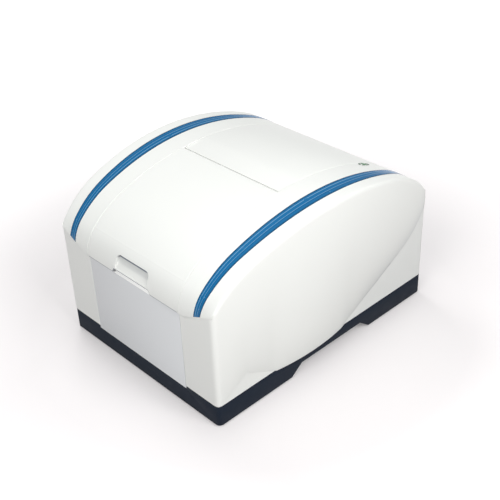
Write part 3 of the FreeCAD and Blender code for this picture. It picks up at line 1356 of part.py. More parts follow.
def make_inlet():
    """Power inlet with its socket and pins, the fuse drawer and the rocker switch."""
    middle = inlet_centre()
    wide = num("inlet_width")
    tall = num("inlet_tall")
    snug = num("snug")
    flange = Part.makeBox(wide, 2.5, tall, middle + Vector(-wide / 2, 0, -tall / 2))
    flange = flange.makeFillet(3, [edge for edge in flange.Edges if edge.BoundBox.YLength > 2])
    inner = 2 + snug
    body = Part.makeBox(wide - 2 * inner, 25, tall - 2 * inner, middle + Vector(inner - wide / 2, -25, inner - tall / 2))
    socket_low = middle + Vector(0, 0, -tall / 2 + 7)
    half = 12.1
    high = 16.2
    outline = [
        Vector(-half, 0, 0),
        Vector(half, 0, 0),
        Vector(half, 0, high - 5),
        Vector(half - 5, 0, high),
        Vector(5 - half, 0, high),
        Vector(-half, 0, high - 5),
    ]
    outline = [socket_low + Vector(p.x, 3, p.z) for p in outline]
    socket = Part.Face(Part.makePolygon(outline + outline[:1])).extrude(Vector(0, -18, 0))
    inlet = flange.fuse(body).cut(socket)
    for dx, dz in ((-7, 7), (7, 7), (0, 11)):
        pin = Part.makeBox(2, 13, 4, socket_low + Vector(dx - 1, -15, dz - 2))
        inlet = inlet.fuse(pin)
    drawer_low = middle + Vector(-12, -20, -1.5)
    inlet = inlet.cut(Part.makeBox(24, 24, 8, drawer_low))
    switch = middle + Vector(0, -2.4, 18)
    inlet = inlet.cut(Part.makeBox(20, 16, 14, switch + Vector(-10, -10, -7)))
    inlet = inlet.cut(rod(1.5 + num("running"), 24, switch - ACROSS * 12, ACROSS))
    solid("power_inlet", inlet.removeSplitter())
    drawer = Part.makeBox(24 - 4 * snug, 20, 8 - 4 * snug, drawer_low + Vector(2 * snug, 2, 2 * snug))
    lip = Part.makeBox(8, 1.5, 2, drawer_low + Vector(8, 21.4, 5.4))
    drawer = drawer.fuse(lip)
    drawer = drawer.cut(Part.makeBox(6, 12, 20, drawer_low + Vector(9, 4, -5)))
    solid("fuse_drawer", drawer.removeSplitter())
    profile = [(-5, -5.5), (3.6, -6.4), (5.2, -1), (5.2, 1), (3.6, 6.4), (-5, 5.5)]
    points = [Vector(-9.7, y, z) for y, z in profile]
    rocker = Part.Face(Part.makePolygon(points + points[:1])).extrude(Vector(19.4, 0, 0))
    rocker = rocker.fuse(rod(1.5, 23, Vector(-11.5, 0, 0), ACROSS))
    rocker.rotate(Vector(0, 0, 0), ACROSS, -7)
    rocker.translate(switch)
    solid("power_rocker", rocker.removeSplitter())


def make_ports():
    """Data port and push-in purge port on the rear panel."""
    x = num("port_across")
    z = SEAT + num("inlet_height")
    shell = Part.makeBox(12, 17.5, 10.8, Vector(x - 6, DEEP - 16.5, z - 5.4))
    cavity = Part.makeBox(8.6, 12, 7.8, Vector(x - 4.3, DEEP - 10, z - 3.9))
    tongue = Part.makeBox(5.4, 9, 2.8, Vector(x - 2.7, DEEP - 10.5, z - 1.4))
    rim = Part.makeBox(16, 1.2, 14.8, Vector(x - 8, DEEP, z - 7.4))
    rim = rim.cut(Part.makeBox(12, 4, 10.8, Vector(x - 6, DEEP - 1, z - 5.4)))
    solid("data_port", shell.cut(cavity).fuse([tongue, rim]).removeSplitter())
    port = new_body("purge_port")
    section = add_sketch(port, "XZ_Plane")
    bore = "(tube_radius + running)"
    stem = "(tube_radius + 1.9)"
    collar = "(tube_radius + 4.4)"
    polygon(section, [
        ("tube_radius - 0.8", "0 - shell_wall - 14"),
        (stem, "0 - shell_wall - 14"),
        (stem, "0 - shell_wall - 5"),
        (collar, "0 - shell_wall - 5"),
        (collar, "0 - shell_wall"),
        (stem, "0 - shell_wall"),
        (stem, 0),
        (collar, 0),
        (collar, "port_stand - 1.2"),
        (stem, "port_stand - 1.2"),
        (stem, "port_stand"),
        (bore, "port_stand"),
        (bore, "port_stand - tube_depth"),
        ("tube_radius - 0.8", "port_stand - tube_depth"),
    ])
    turned(port, section)
    place(port, "purge_across", HALF_DEEP, BASE_TOP + " + inlet_height", Rotation(Vector(1, 0, 0), -90))


def make_screws():
    """Screws that hold the rear panel and the fan."""
    screws = []
    shank = num("screw_radius")
    for x, z, length in screw_places():
        head = rod(2 * shank, 1.8, Vector(num(x), DEEP, num(z)), BACK)
        head = head.makeFillet(0.8, [head.Edges[0]] if head.Edges[0].CenterOfMass.y > DEEP + 1 else [head.Edges[2]])
        drive = rod(shank, 3, Vector(num(x), DEEP + 0.7, num(z)), BACK)
        screws.append(head.cut(drive).fuse(rod(shank, length, Vector(num(x), DEEP - length, num(z)), BACK)))
    solid("screws", Part.makeCompound(screws))


# Small trim


def make_status_lens():
    """Green lens of the status light in the right cheek."""
    lens = rod(num("lens_radius"), WALL + 1.6, Vector(0, 0, -WALL - 0.8), UP)
    rim = [edge for edge in lens.Edges if edge.CenterOfMass.z > 0.5]
    lens = lens.makeFillet(0.6, rim)
    lens.Placement = lens_frame()
    solid("status_lens", lens)


def make_latches():
    """Magnet strips on the deck beside the bay and the steel plates above them in the lid."""
    level = deck_level()
    under = -WALL - num("liner_gap + liner_wall")
    low = num("bay_half + seal_width / 2") + 1
    wide = num("latch_width")
    length = num("latch_length")
    start = num(BAY_FRONT + " + latch_back")
    near = start - 5
    far = start + length + 5
    magnets = []
    plates = []
    for side in (-1, 1):
        left = low if side > 0 else -low - wide
        strip = part_box(left, start, SEAT, wide, length, TOP)
        magnets.append(arch_layer(level + num("magnet_thick"), level, CENTRE, near, far, CHIN).common(strip))
        plates.append(arch_layer(under, under - num("latch_thick"), CENTRE, near, far, CHIN).common(strip))
    solid("latch_magnets", Part.makeCompound(magnets))
    solid("latch_plates", Part.makeCompound(plates))


# The whole machine


def make_all():
    """Make every sub-part."""
    make_cheeks()
    make_lid()
    make_lid_liner()
    make_lid_seal()
    make_hinge()
    make_top_cover()
    make_compartment_tub()
    make_windows()
    make_sample_holder()
    make_base_tray()
    make_feet()
    make_bench()
    make_front_panel()
    make_rear_panel()
    make_interferometer()
    make_mirrors()
    make_source()
    make_aperture_wheel()
    make_laser()
    make_detector()
    make_desiccant()
    make_electronics()
    make_fan()
    make_inlet()
    make_ports()
    make_screws()
    make_status_lens()
    make_latches()


def check_and_export():
    """Stop on any faulty object, then write one file for each sub-part."""
    doc.recompute()
    for item in doc.Objects:
        if "Invalid" in item.State or "Error" in item.State:
            raise RuntimeError(f"{item.Label} is in state {item.State}")
    for item in NODES:
        if item.Shape.isNull() or not item.Shape.isValid():
            raise RuntimeError(f"{item.Label} has no valid shape")
    os.makedirs("parts", exist_ok=True)
    for item in NODES:
        item.Shape.exportStep(f"parts/{item.Label}.step")


if __name__ == "__main__":
    make_all()
    check_and_export()
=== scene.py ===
"""Looks of a bench-top infrared spectrometer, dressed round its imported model.

Frame in metres: X to the right seen from the front, Y to the back, Z up, the origin on the bench
under the middle of the machine. Sizes of the forms are fields in millimetres and turn into metres
as meshes are made.
"""

import json
import logging
import math
from contextlib import contextmanager
from dataclasses import dataclass, field
from enum import Enum
from typing import Any, Callable, Iterator, Sequence

import bmesh
import bpy
import numpy as np
from mathutils import Matrix, Vector

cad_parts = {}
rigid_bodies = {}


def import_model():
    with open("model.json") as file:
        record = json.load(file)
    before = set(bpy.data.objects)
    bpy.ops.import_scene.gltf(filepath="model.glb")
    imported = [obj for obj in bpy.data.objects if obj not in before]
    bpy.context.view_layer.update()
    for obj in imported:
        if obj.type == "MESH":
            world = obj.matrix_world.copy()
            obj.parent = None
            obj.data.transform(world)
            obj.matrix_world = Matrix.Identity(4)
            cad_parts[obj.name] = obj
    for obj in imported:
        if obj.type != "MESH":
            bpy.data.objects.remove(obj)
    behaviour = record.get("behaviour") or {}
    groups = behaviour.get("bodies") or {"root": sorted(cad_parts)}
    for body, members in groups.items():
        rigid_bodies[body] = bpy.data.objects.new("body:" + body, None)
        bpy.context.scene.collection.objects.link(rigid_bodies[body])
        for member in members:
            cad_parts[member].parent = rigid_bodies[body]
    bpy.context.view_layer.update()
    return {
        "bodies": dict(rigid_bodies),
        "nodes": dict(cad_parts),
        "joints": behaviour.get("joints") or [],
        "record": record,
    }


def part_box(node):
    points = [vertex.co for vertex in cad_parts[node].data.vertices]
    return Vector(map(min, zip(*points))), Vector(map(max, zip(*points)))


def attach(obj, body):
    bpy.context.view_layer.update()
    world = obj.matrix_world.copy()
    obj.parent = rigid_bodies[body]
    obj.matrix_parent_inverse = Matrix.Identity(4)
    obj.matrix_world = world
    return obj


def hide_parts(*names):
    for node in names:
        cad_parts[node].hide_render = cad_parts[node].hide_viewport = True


LOG = logging.getLogger("spectrometer")
MM = 0.001
Numbers = np.ndarray
Colour = tuple[float, float, float]
Point = tuple[float, float, float]


# Nodes: one wrapper for sockets and one method for every other node


def operator(operation: str, reflected: bool = False) -> Callable[..., "Wire"]:
    """A method of Wire that adds one Math node.

    Args:
        operation: The Math node's operation.
        reflected: True where the wire stands to the right of the sign.

    Returns:
        The method.
    """
    def method(self: "Wire", *others: Any) -> "Wire":
        """The Math node's result."""
        return self.board.math(operation, *((*others, self) if reflected else (self, *others)))
    return method


class Wire:
    """A value in a node tree that takes part in Python arithmetic."""

    __add__ = operator("ADD")
    __radd__ = operator("ADD", reflected=True)
    __sub__ = operator("SUBTRACT")
    __rsub__ = operator("SUBTRACT", reflected=True)
    __mul__ = operator("MULTIPLY")
    __rmul__ = operator("MULTIPLY", reflected=True)
    __truediv__ = operator("DIVIDE")
    __rtruediv__ = operator("DIVIDE", reflected=True)
    __gt__ = operator("GREATER_THAN")
    __lt__ = operator("LESS_THAN")
    sin = operator("SINE")
    cos = operator("COSINE")
    size = operator("ABSOLUTE")
    root = operator("SQRT")
    least = operator("MINIMUM")
    most = operator("MAXIMUM")

    def __init__(self, board: "Board", socket: bpy.types.NodeSocket) -> None:
        """Hold a socket and the board it belongs to."""
        self.board = board
        self.socket = socket

    def __neg__(self) -> "Wire":
        """The value with its sign turned."""
        return self * -1.0

    def share(self, low: Any, high: Any) -> "Wire":
        """Part of the way from low to high, kept between 0 and 1."""
        return self.board.math("ADD", (self - low) / (high - low), 0.0, clamp=True)

    def band(self, middle: float, half: float, soft: float) -> "Wire":
        """1 within half of a middle value, falling to 0 over a soft edge."""
        return 1.0 - (self - middle).size().share(half, half + soft)


class Board:
    """A node tree with one method that adds a node of any type."""

    def __init__(self, tree: bpy.types.NodeTree) -> None:
        """Hold the tree."""
        self.tree = tree

    @classmethod
    def cleared(cls, owner: bpy.types.Material | bpy.types.World) -> "Board":
        """The emptied node tree of a material or a world."""
        owner.use_nodes = True
        owner.node_tree.nodes.clear()
        return cls(owner.node_tree)

    def add(self, kind: str, settings: dict[str, Any] | None = None, **sockets: Any) -> bpy.types.Node:
        """Add a node, set it, then feed its sockets.

        Args:
            kind: The node's type.
            settings: Properties that are set first.
            sockets: What goes into each socket, by its identifier, by its name with "_" for a
                space, or by its number as "in0", "in1" and so on.

        Returns:
            The node.
        """
        node = self.tree.nodes.new(kind)
        for name, value in (settings or {}).items():
            setattr(node, name, value)
        for name, value in sockets.items():
            self.feed(self._socket(node, name), value)
        return node

    @staticmethod
    def _socket(node: bpy.types.Node, name: str) -> bpy.types.NodeSocket:
        """Find an input.

        Args:
            node: The node.
            name: The input's number, identifier or name, as in add.

        Returns:
            The socket.
        """
        if name.startswith("in") and name[2:].isdigit():
            return node.inputs[int(name[2:])]
        for socket in node.inputs:
            if socket.identifier == name:
                return socket
        return node.inputs[name.replace("_", " ")]

    def feed(self, socket: bpy.types.NodeSocket, value: Any) -> None:
        """Link something to a socket, or write a plain value on it.

        Args:
            socket: The input.
            value: A wire, a node whose first output is meant, or a plain value.
        """
        if isinstance(value, bpy.types.Node):
            value = self.out(value)
        if isinstance(value, Wire):
            self.tree.links.new(value.socket, socket)
        else:
            socket.default_value = value

    def out(self, node: bpy.types.Node, name: str | int = 0) -> Wire:
        """A node's output as a wire."""
        return Wire(self, node.outputs[name])

    def math(self, operation: str, *values: Any, clamp: bool = False) -> Wire:
        """One Math node.

        Args:
            operation: What it does.
            values: Wires or numbers for its sockets.
            clamp: Whether the result is kept between 0 and 1.

        Returns:
            The result.
        """
        node = self.add("ShaderNodeMath", {"operation": operation, "use_clamp": clamp})
        for socket, value in zip(node.inputs, values):
            self.feed(socket, value)
        return self.out(node)

    def blend(self, factor: Any, first: Any, second: Any) -> Wire:
        """A colour between two colours."""
        return self.out(self.add("ShaderNodeMix", {"data_type": "RGBA"}, Factor_Float=factor,
                                 A_Color=first, B_Color=second), 2)

    def noise(self, place: Any, scale: float, detail: float) -> Wire:
        """Noise between 0 and 1."""
        return self.out(self.add("ShaderNodeTexNoise", None, Vector=place, Scale=scale, Detail=detail), "Fac")

    def split(self, vector: Any) -> list[Wire]:
        """The x, y and z of a vector."""
        node = self.add("ShaderNodeSeparateXYZ", None, Vector=vector)
        return [self.out(node, n) for n in range(3)]

    def place(self) -> Wire:
        """The surface's own place in its object."""
        return self.out(self.add("ShaderNodeTexCoord"), "Object")

    def end(self, kind: str, shader: bpy.types.Node) -> None:
        """Lead a shader to the tree's output."""
        self.add(kind, None, Surface=shader)


# Finishes


class Grain(Enum):
    """How a surface is textured."""

    MOULD = "fine spark-eroded plastic"
    # The hood's painted tones are painted shade, read from its "shade" attribute.
    HOOD = "the same, with its painted tones and scribed lines"
    POWDER = "powder coat"
    SHEET = "smooth plastic"
    BRUSHED = "metal with fine lines"
    CAST = "cast metal"
    RUBBER = "rubber"
    FOAM = "closed cell foam"
    POLISH = "polished"
    CIRCUIT = "circuit board"
    # The stripe's lines are painted highlights, with painted shade at its edges and a painted dark reflection
    # band.
    LINED = "stripe with thin lengthwise lines"
    CLEAR = "clear optics"


def linear(colour: Colour) -> tuple[float, float, float, float]:
    """Scene colour of a display colour."""
    return (*[c / 12.92 if c <= 0.04045 else ((c + 0.055) / 1.055) ** 2.4 for c in colour], 1.0)


@dataclass(frozen=True)
class Finish:
    """One finish: its colour, gloss and texture."""

    name: str
    colour: Colour
    grain: Grain
    roughness: float = 0.45
    metallic: float = 0.0
    coat: float = 0.0
    grain_mm: float = 0.8
    depth_mm: float = 0.02
    mottle: float = 0.035
    clear: float = 0.0
    glow: float = 0.0
    specular: float = 0.5
    second: Colour = (1.0, 1.0, 1.0)


@dataclass(frozen=True)
class Scribe:
    """The fine double line scribed on each side under the rear sweep, in metres."""

    low: tuple[float, float] = (0.089, 0.0745)
    high: tuple[float, float] = (0.166, 0.1155)
    sag: float = 1.1
    gap: float = 0.0042
    half: float = 0.0003
    soft: float = 0.0004
    side: float = 0.199

    def mask(self, board: Board, place: Wire) -> Wire:
        """Where the lines are.

        Args:
            board: The material's tree.
            place: The surface's place.

        Returns:
            1 on the lines, else 0.
        """
        x, y, z = board.split(place)
        run, rise = self.high[0] - self.low[0], self.high[1] - self.low[1]
        length = math.hypot(run, rise)
        along = (y - self.low[0]) * (run / length) + (z - self.low[1]) * (rise / length)
        away = (z - self.low[1]) * (run / length) - (y - self.low[0]) * (rise / length)
        bend = away + (along * (length - along)) * self.sag
        lines = bend.band(0.0, self.half, self.soft) + bend.band(self.gap, self.half, self.soft)
        return lines * ((along > 0.0) * (along < length) * (x.size() > self.side))


@dataclass(frozen=True)
class PaintedStripeGloss:
    """Painted shade at the stripe's edges, a painted dark reflection band and painted highlight lines, as
    shares of its width.
    """

    edge: tuple[float, float] = (0.35, 0.44)
    edge_shade: float = 0.75
    band: tuple[float, float, float] = (0.66, 0.02, 0.03)
    band_reflection: float = 0.5
    lines: tuple[tuple[float, float, float], ...] = ((0.27, 0.012, 0.016), (0.58, 0.010, 0.014))
    lights: tuple[float, ...] = (1.0, 0.8)
    light: float = 0.62


class Paintshop:
    """Builds each finish once as a node material."""

    # Navy of the stripe's painted edge shade, and of its painted dark reflection band.
    STRIPE_EDGE_SHADE = (0.010, 0.055, 0.105, 1.0)
    STRIPE_REFLECTION_NAVY = (0.008, 0.075, 0.19, 1.0)
    SCRIBE_GREY = (0.30, 0.31, 0.33, 1.0)
    BLACK, WHITE = (0, 0, 0, 1), (1, 1, 1, 1)

    def __init__(self) -> None:
        """Start with no materials."""
        self.made: dict[str, bpy.types.Material] = {}

    def mix(self, finish: Finish) -> bpy.types.Material:
        """The material of a finish.

        Args:
            finish: What to build.

        Returns:
            The material, made at the first call.
        """
        if finish.name in self.made:
            return self.made[finish.name]
        material = bpy.data.materials.new(finish.name)
        material.diffuse_color = linear(finish.colour)
        board = Board.cleared(material)
        place = board.place()
        worn = (board.noise(place, 34.0, 3.0) - 0.5) * (finish.roughness * 0.3) + finish.roughness
        shader = board.add("ShaderNodeBsdfPrincipled", None, Base_Color=self._colour(board, finish, place),
                           Roughness=worn, Metallic=finish.metallic, Coat_Weight=finish.coat,
                           Coat_Roughness=0.08, Specular_IOR_Level=finish.specular)
        if finish.clear:
            board.feed(shader.inputs["Transmission Weight"], finish.clear)
            board.feed(shader.inputs["IOR"], 1.45)
        if finish.glow:
            board.feed(shader.inputs["Emission Color"], linear(finish.second))
            board.feed(shader.inputs["Emission Strength"], finish.glow)
        if finish.grain not in (Grain.CLEAR, Grain.POLISH):
            bump = board.add("ShaderNodeBump", None, Strength=1.0, Distance=finish.depth_mm * MM,
                             Height=self._height(board, finish, place))
            board.feed(shader.inputs["Normal"], bump)
        board.end("ShaderNodeOutputMaterial", shader)
        self.made[finish.name] = material
        return material

    def _colour(self, board: Board, finish: Finish, place: Wire) -> Wire:
        """Base colour with its slow variation, any pattern of the grain, the hood's painted shade and the
        stripe's painted highlights and shade.

        Args:
            board: The material's tree.
            finish: The finish.
            place: The surface's place.

        Returns:
            The colour.
        """
        base = linear(finish.colour)
        darker = (*(part * (1.0 - finish.mottle) for part in base[:3]), 1.0)
        mottle = board.noise(place, 9.0, 4.0) * 0.7 + board.noise(place, 420.0, 1.0) * 0.3
        tone = board.blend(mottle.share(0.32, 0.68), darker, base)
        second = linear(finish.second)
        if finish.grain is Grain.LINED:
            return self._painted_gloss(board, tone, second)
        if finish.grain is Grain.HOOD:
            # Painted shade: the "shade" attribute darkens the hood towards its cool grey second colour.
            shade = board.out(board.add("ShaderNodeAttribute", {"attribute_name": "shade"}), "Fac")
            tone = board.blend(shade, tone, second)
            return board.blend(Scribe().mask(board, place) * 0.55, tone, self.SCRIBE_GREY)
        if finish.grain is Grain.CIRCUIT:
            brick = board.add("ShaderNodeTexBrick", {"offset": 0.37}, Vector=place, Scale=110.0,
                              Mortar_Size=0.012, Color1=self.BLACK, Color2=self.BLACK, Mortar=self.WHITE)
            return board.blend(board.out(brick, "Fac"), tone, second)
        return tone

    def _painted_gloss(self, board: Board, tone: Wire, light: tuple[float, ...]) -> Wire:
        """The stripe's colour: painted shade at both edges, a painted dark reflection band and two painted
        highlight lines along its map.

        Args:
            board: The material's tree.
            tone: The plain blue.
            light: The colour of the painted highlight lines.

        Returns:
            The colour.
        """
        across = board.out(board.add("ShaderNodeSeparateXYZ", None, Vector=board.add(
            "ShaderNodeUVMap", {"uv_map": "along"})), "X")
        plan = PaintedStripeGloss()
        # Painted shade along both edges, a painted dark reflection band, then painted highlight lines.
        tone = board.blend((across - 0.5).size().share(*plan.edge) * plan.edge_shade, tone, self.STRIPE_EDGE_SHADE)
        tone = board.blend(across.band(*plan.band) * plan.band_reflection, tone, self.STRIPE_REFLECTION_NAVY)
        lines = sum(across.band(*line) * share for line, share in zip(plan.lines, plan.lights))
        return board.blend(lines.least(1.0) * plan.light, tone, light)

    def _height(self, board: Board, finish: Finish, place: Wire) -> Wire:
        """Height of the surface's fine texture.

        Args:
            board: The material's tree.
            finish: The finish.
            place: The surface's place.

        Returns:
            The height, for a bump.
        """
        scale = 1.0 / (finish.grain_mm * MM)
        if finish.grain is Grain.BRUSHED:
            stretched = board.add("ShaderNodeMapping", None, Vector=place, Scale=(0.02, 1.0, 1.0))
            return board.noise(stretched, scale, 2.0)
        if finish.grain is Grain.FOAM:
            return board.out(board.add("ShaderNodeTexVoronoi", None, Vector=place, Scale=scale), "Distance")
        wide = 2.5 if finish.grain is Grain.CAST else 0.8
        return board.noise(place, scale, 2.0) + board.noise(place, scale / 9.0, 2.0) * wide


# The hood's second colour is the cool grey of its painted shade.
HOOD_WHITE = Finish("hood_moulding", (0.952, 0.955, 0.938), Grain.HOOD, roughness=0.38, mottle=0.010,
                    depth_mm=0.006, second=(0.40, 0.43, 0.50))
# The stripe's second colour is that of its painted highlight lines.
STRIPE_BLUE = Finish("stripe_gloss", (0.095, 0.415, 0.620), Grain.LINED, roughness=0.26, coat=0.06,
                     specular=0.18, mottle=0.05, depth_mm=0.004, second=(0.62, 0.80, 0.90))
# The ledge's glow is painted light: it brightens the ledge where the lid shades it, and is no lamp.
LEDGE_PAINTED_LIGHT = Finish("ledge_moulding", (0.965, 0.965, 0.955), Grain.SHEET, roughness=0.4, mottle=0.01,
                     glow=0.2, second=(1.0, 1.0, 0.98))
MARK_GREEN = Finish("mark_green", (0.06, 0.27, 0.13), Grain.SHEET, roughness=0.4)
FINISHES: dict[str, Finish] = {
    "hood_white": HOOD_WHITE,
    "stripe_blue": STRIPE_BLUE,
    "liner_grey": Finish("liner_moulding", (0.735, 0.745, 0.755), Grain.MOULD, roughness=0.5,
                         mottle=0.03),
    "seal_black": Finish("seal_foam", (0.085, 0.085, 0.09), Grain.FOAM, roughness=0.9, grain_mm=0.5,
                         depth_mm=0.05),
    "steel": Finish("turned_steel", (0.74, 0.745, 0.75), Grain.BRUSHED, roughness=0.3, metallic=1.0,
                    grain_mm=0.2, depth_mm=0.003),
    "acetal": Finish("bush_acetal", (0.90, 0.90, 0.87), Grain.SHEET, roughness=0.35, grain_mm=1.2,
                     depth_mm=0.004),
    "bezel_black": Finish("bezel_moulding", (0.085, 0.088, 0.094), Grain.MOULD, roughness=0.5),
    "window_clear": Finish("window_salt", (0.96, 0.975, 0.98), Grain.CLEAR, roughness=0.03, clear=0.92),
    "splitter_clear": Finish("splitter_coated", (0.88, 0.94, 0.90), Grain.CLEAR, roughness=0.02,
                             clear=0.75),
    "holder_alloy": Finish("holder_anodised", (0.76, 0.765, 0.775), Grain.BRUSHED, roughness=0.34,
                           metallic=1.0, grain_mm=0.25, depth_mm=0.004),
    "card_black": Finish("card_board", (0.12, 0.125, 0.14), Grain.SHEET, roughness=0.6, grain_mm=0.5,
                         depth_mm=0.01),
    "tray_navy": Finish("tray_coat", (0.118, 0.150, 0.200), Grain.POWDER, roughness=0.6, specular=0.12,
                        grain_mm=0.9, depth_mm=0.03, mottle=0.10),
    "foot_rubber": Finish("foot_moulding", (0.06, 0.06, 0.064), Grain.RUBBER, roughness=0.85,
                          grain_mm=0.6),
    "cast_alloy": Finish("bench_casting", (0.66, 0.665, 0.67), Grain.CAST, roughness=0.5, metallic=1.0,
                         grain_mm=1.6, depth_mm=0.06, mottle=0.08),
    "panel_grey": Finish("front_moulding", (0.918, 0.925, 0.930), Grain.MOULD, roughness=0.42,
                         mottle=0.012, depth_mm=0.008),
    "rear_grey": Finish("rear_coat", (0.86, 0.868, 0.872), Grain.POWDER, roughness=0.5, grain_mm=0.9,
                        depth_mm=0.02),
    "gold_mirror": Finish("gold_coating", (0.95, 0.80, 0.45), Grain.POLISH, roughness=0.06, metallic=1.0,
                          mottle=0.02),
    "coil_black": Finish("coil_lacquer", (0.11, 0.11, 0.12), Grain.POWDER, roughness=0.5, grain_mm=0.7),
    "fin_alloy": Finish("fin_anodised", (0.55, 0.56, 0.58), Grain.BRUSHED, roughness=0.42, metallic=1.0,
                        grain_mm=0.3, depth_mm=0.006),
    "ceramic_white": Finish("element_ceramic", (0.92, 0.88, 0.80), Grain.CAST, roughness=0.8,
                            grain_mm=0.5, glow=0.25, second=(1.0, 0.62, 0.30)),
    "wheel_black": Finish("black_anodised", (0.12, 0.12, 0.13), Grain.BRUSHED, roughness=0.45,
                          metallic=0.6, grain_mm=0.3, depth_mm=0.004),
    "board_green": Finish("solder_mask", (0.10, 0.34, 0.19), Grain.CIRCUIT, roughness=0.32, coat=0.4,
                          depth_mm=0.01, second=(0.22, 0.50, 0.30)),
    "cartridge_blue": Finish("cartridge_moulding", (0.22, 0.36, 0.64), Grain.MOULD, roughness=0.5),
    "brass": Finish("brass_turned", (0.80, 0.68, 0.38), Grain.BRUSHED, roughness=0.28, metallic=1.0,
                    grain_mm=0.2, depth_mm=0.004),
    "supply_steel": Finish("zinc_plate", (0.70, 0.71, 0.715), Grain.CAST, roughness=0.38, metallic=1.0,
                           grain_mm=2.4, depth_mm=0.01, mottle=0.12),
    "fan_black": Finish("fan_moulding", (0.075, 0.075, 0.08), Grain.SHEET, roughness=0.45, grain_mm=1.0),
    "inlet_black": Finish("inlet_moulding", (0.06, 0.06, 0.064), Grain.MOULD, roughness=0.5),
    "rocker_black": Finish("rocker_moulding", (0.055, 0.055, 0.06), Grain.SHEET, roughness=0.25,
                           coat=0.3),
    "port_steel": Finish("port_tinned", (0.76, 0.765, 0.77), Grain.BRUSHED, roughness=0.3, metallic=1.0,
                         grain_mm=0.3, depth_mm=0.003),
    "lens_green": Finish("lens_clear_green", (0.06, 0.40, 0.18), Grain.SHEET, roughness=0.2, coat=0.4,
                         glow=0.08, second=(0.10, 0.65, 0.28)),
    "magnet_steel": Finish("magnet_plate", (0.55, 0.55, 0.56), Grain.BRUSHED, roughness=0.35,
                           metallic=1.0, grain_mm=0.3, depth_mm=0.003),
}


# Mesh helpers


def paint(obj: bpy.types.Object, material: bpy.types.Material) -> bpy.types.Object:
    """Give an object one material for all its faces.

    Args:
        obj: The object.
        material: Its finish.

    Returns:
        The object.
    """
    obj.data.materials.clear()
    obj.data.materials.append(material)
    return obj


def linked(name: str, data: bpy.types.ID) -> bpy.types.Object:
    """A new object in the scene."""
    obj = bpy.data.objects.new(name, data)
    bpy.context.collection.objects.link(obj)
    return obj


@contextmanager
def opened(mesh: bpy.types.Mesh, join: float = 2e-6) -> Iterator[bmesh.types.BMesh]:
    """Open a mesh for editing, with points that meet joined, and write it back.

    Args:
        mesh: The mesh.
        join: Points nearer than this many metres become one.

    Yields:
        The open mesh.
    """
    work = bmesh.new()
    work.from_mesh(mesh)
    bmesh.ops.remove_doubles(work, verts=work.verts, dist=join)
    yield work
    work.to_mesh(mesh)
    work.free()


def mesh_object(name: str, points: Numbers, faces: Sequence[Sequence[int]],
                smooth: bool = True) -> bpy.types.Object:
    """An object from points in millimetres.

    Args:
        name: The piece's name.
        points: Rows of x, y and z.
        faces: Corner numbers of each face.
        smooth: Whether the faces are shaded smooth.

    Returns:
        The linked object.
    """
    mesh = bpy.data.meshes.new(name)
    mesh.from_pydata([tuple(p) for p in np.asarray(points) * MM], [], [tuple(f) for f in faces])
    with opened(mesh) as work:
        bmesh.ops.dissolve_degenerate(work, edges=work.edges, dist=1e-6)
        for face in work.faces:
            face.smooth = smooth
    return linked(name, mesh)


def settle(obj: bpy.types.Object) -> bpy.types.Object:
    """Turn an object's modifiers into plain mesh.

    Args:
        obj: The object.

    Returns:
        The same object, without modifiers.
    """
    mesh = bpy.data.meshes.new_from_object(obj.evaluated_get(bpy.context.evaluated_depsgraph_get()))
    old = obj.data
    obj.modifiers.clear()
    obj.data = mesh
    if old.users == 0:
        bpy.data.meshes.remove(old)
    mesh.name = obj.name
    return obj


def thicken(obj: bpy.types.Object, wall_mm: float) -> None:
    """Give a skin its wall, inwards.

    Args:
        obj: The skin.
        wall_mm: The wall's thickness.
    """
    wall = obj.modifiers.new("wall", "SOLIDIFY")
    wall.thickness = wall_mm * MM
    wall.offset = -1.0
    wall.use_even_offset = False
    settle(obj)
    mark_sharp(obj, 40.0)


def round_edges(obj: bpy.types.Object, width_mm: float, segments: int, **settings: Any) -> None:
    """Round an object's sharp edges.

    Args:
        obj: The object.
        width_mm: Width of the rounded edge.
        segments: Steps across it.
        settings: Further settings of the Bevel modifier.
    """
    bevel = obj.modifiers.new("edges", "BEVEL")
    bevel.width = width_mm * MM
    bevel.segments = segments
    bevel.harden_normals = True
    for name, value in settings.items():
        setattr(bevel, name, value)
    settle(obj)
    mark_sharp(obj, 50.0)


def outward(obj: bpy.types.Object) -> bpy.types.Object:
    """Turn all faces of a closed piece outwards."""
    with opened(obj.data) as work:
        bmesh.ops.recalc_face_normals(work, faces=work.faces)
    return obj


def face_up(obj: bpy.types.Object) -> None:
    """Turn a skin over if its top faces down."""
    if max(obj.data.polygons, key=lambda face: face.center.z).normal.z < 0:
        obj.data.flip_normals()


def mirror(obj: bpy.types.Object) -> None:
    """Turn a right piece into the left one."""
    for vertex in obj.data.vertices:
        vertex.co.x = -vertex.co.x
    obj.data.flip_normals()


def grid_faces(rows: int, columns: int, first: int = 0, turned: bool = False) -> list[tuple[int, ...]]:
    """Faces of a grid whose points run along columns first.

    Args:
        rows: Rows of points.
        columns: Points in a row.
        first: Number of the first point.
        turned: Whether the faces look the other way.

    Returns:
        The corner numbers of each face.
    """
    faces = []
    for a in (first + r * columns + c for r in range(rows - 1) for c in range(columns - 1)):
        quad = (a, a + 1, a + columns + 1, a + columns)
        faces.append(quad[::-1] if turned else quad)
    return faces


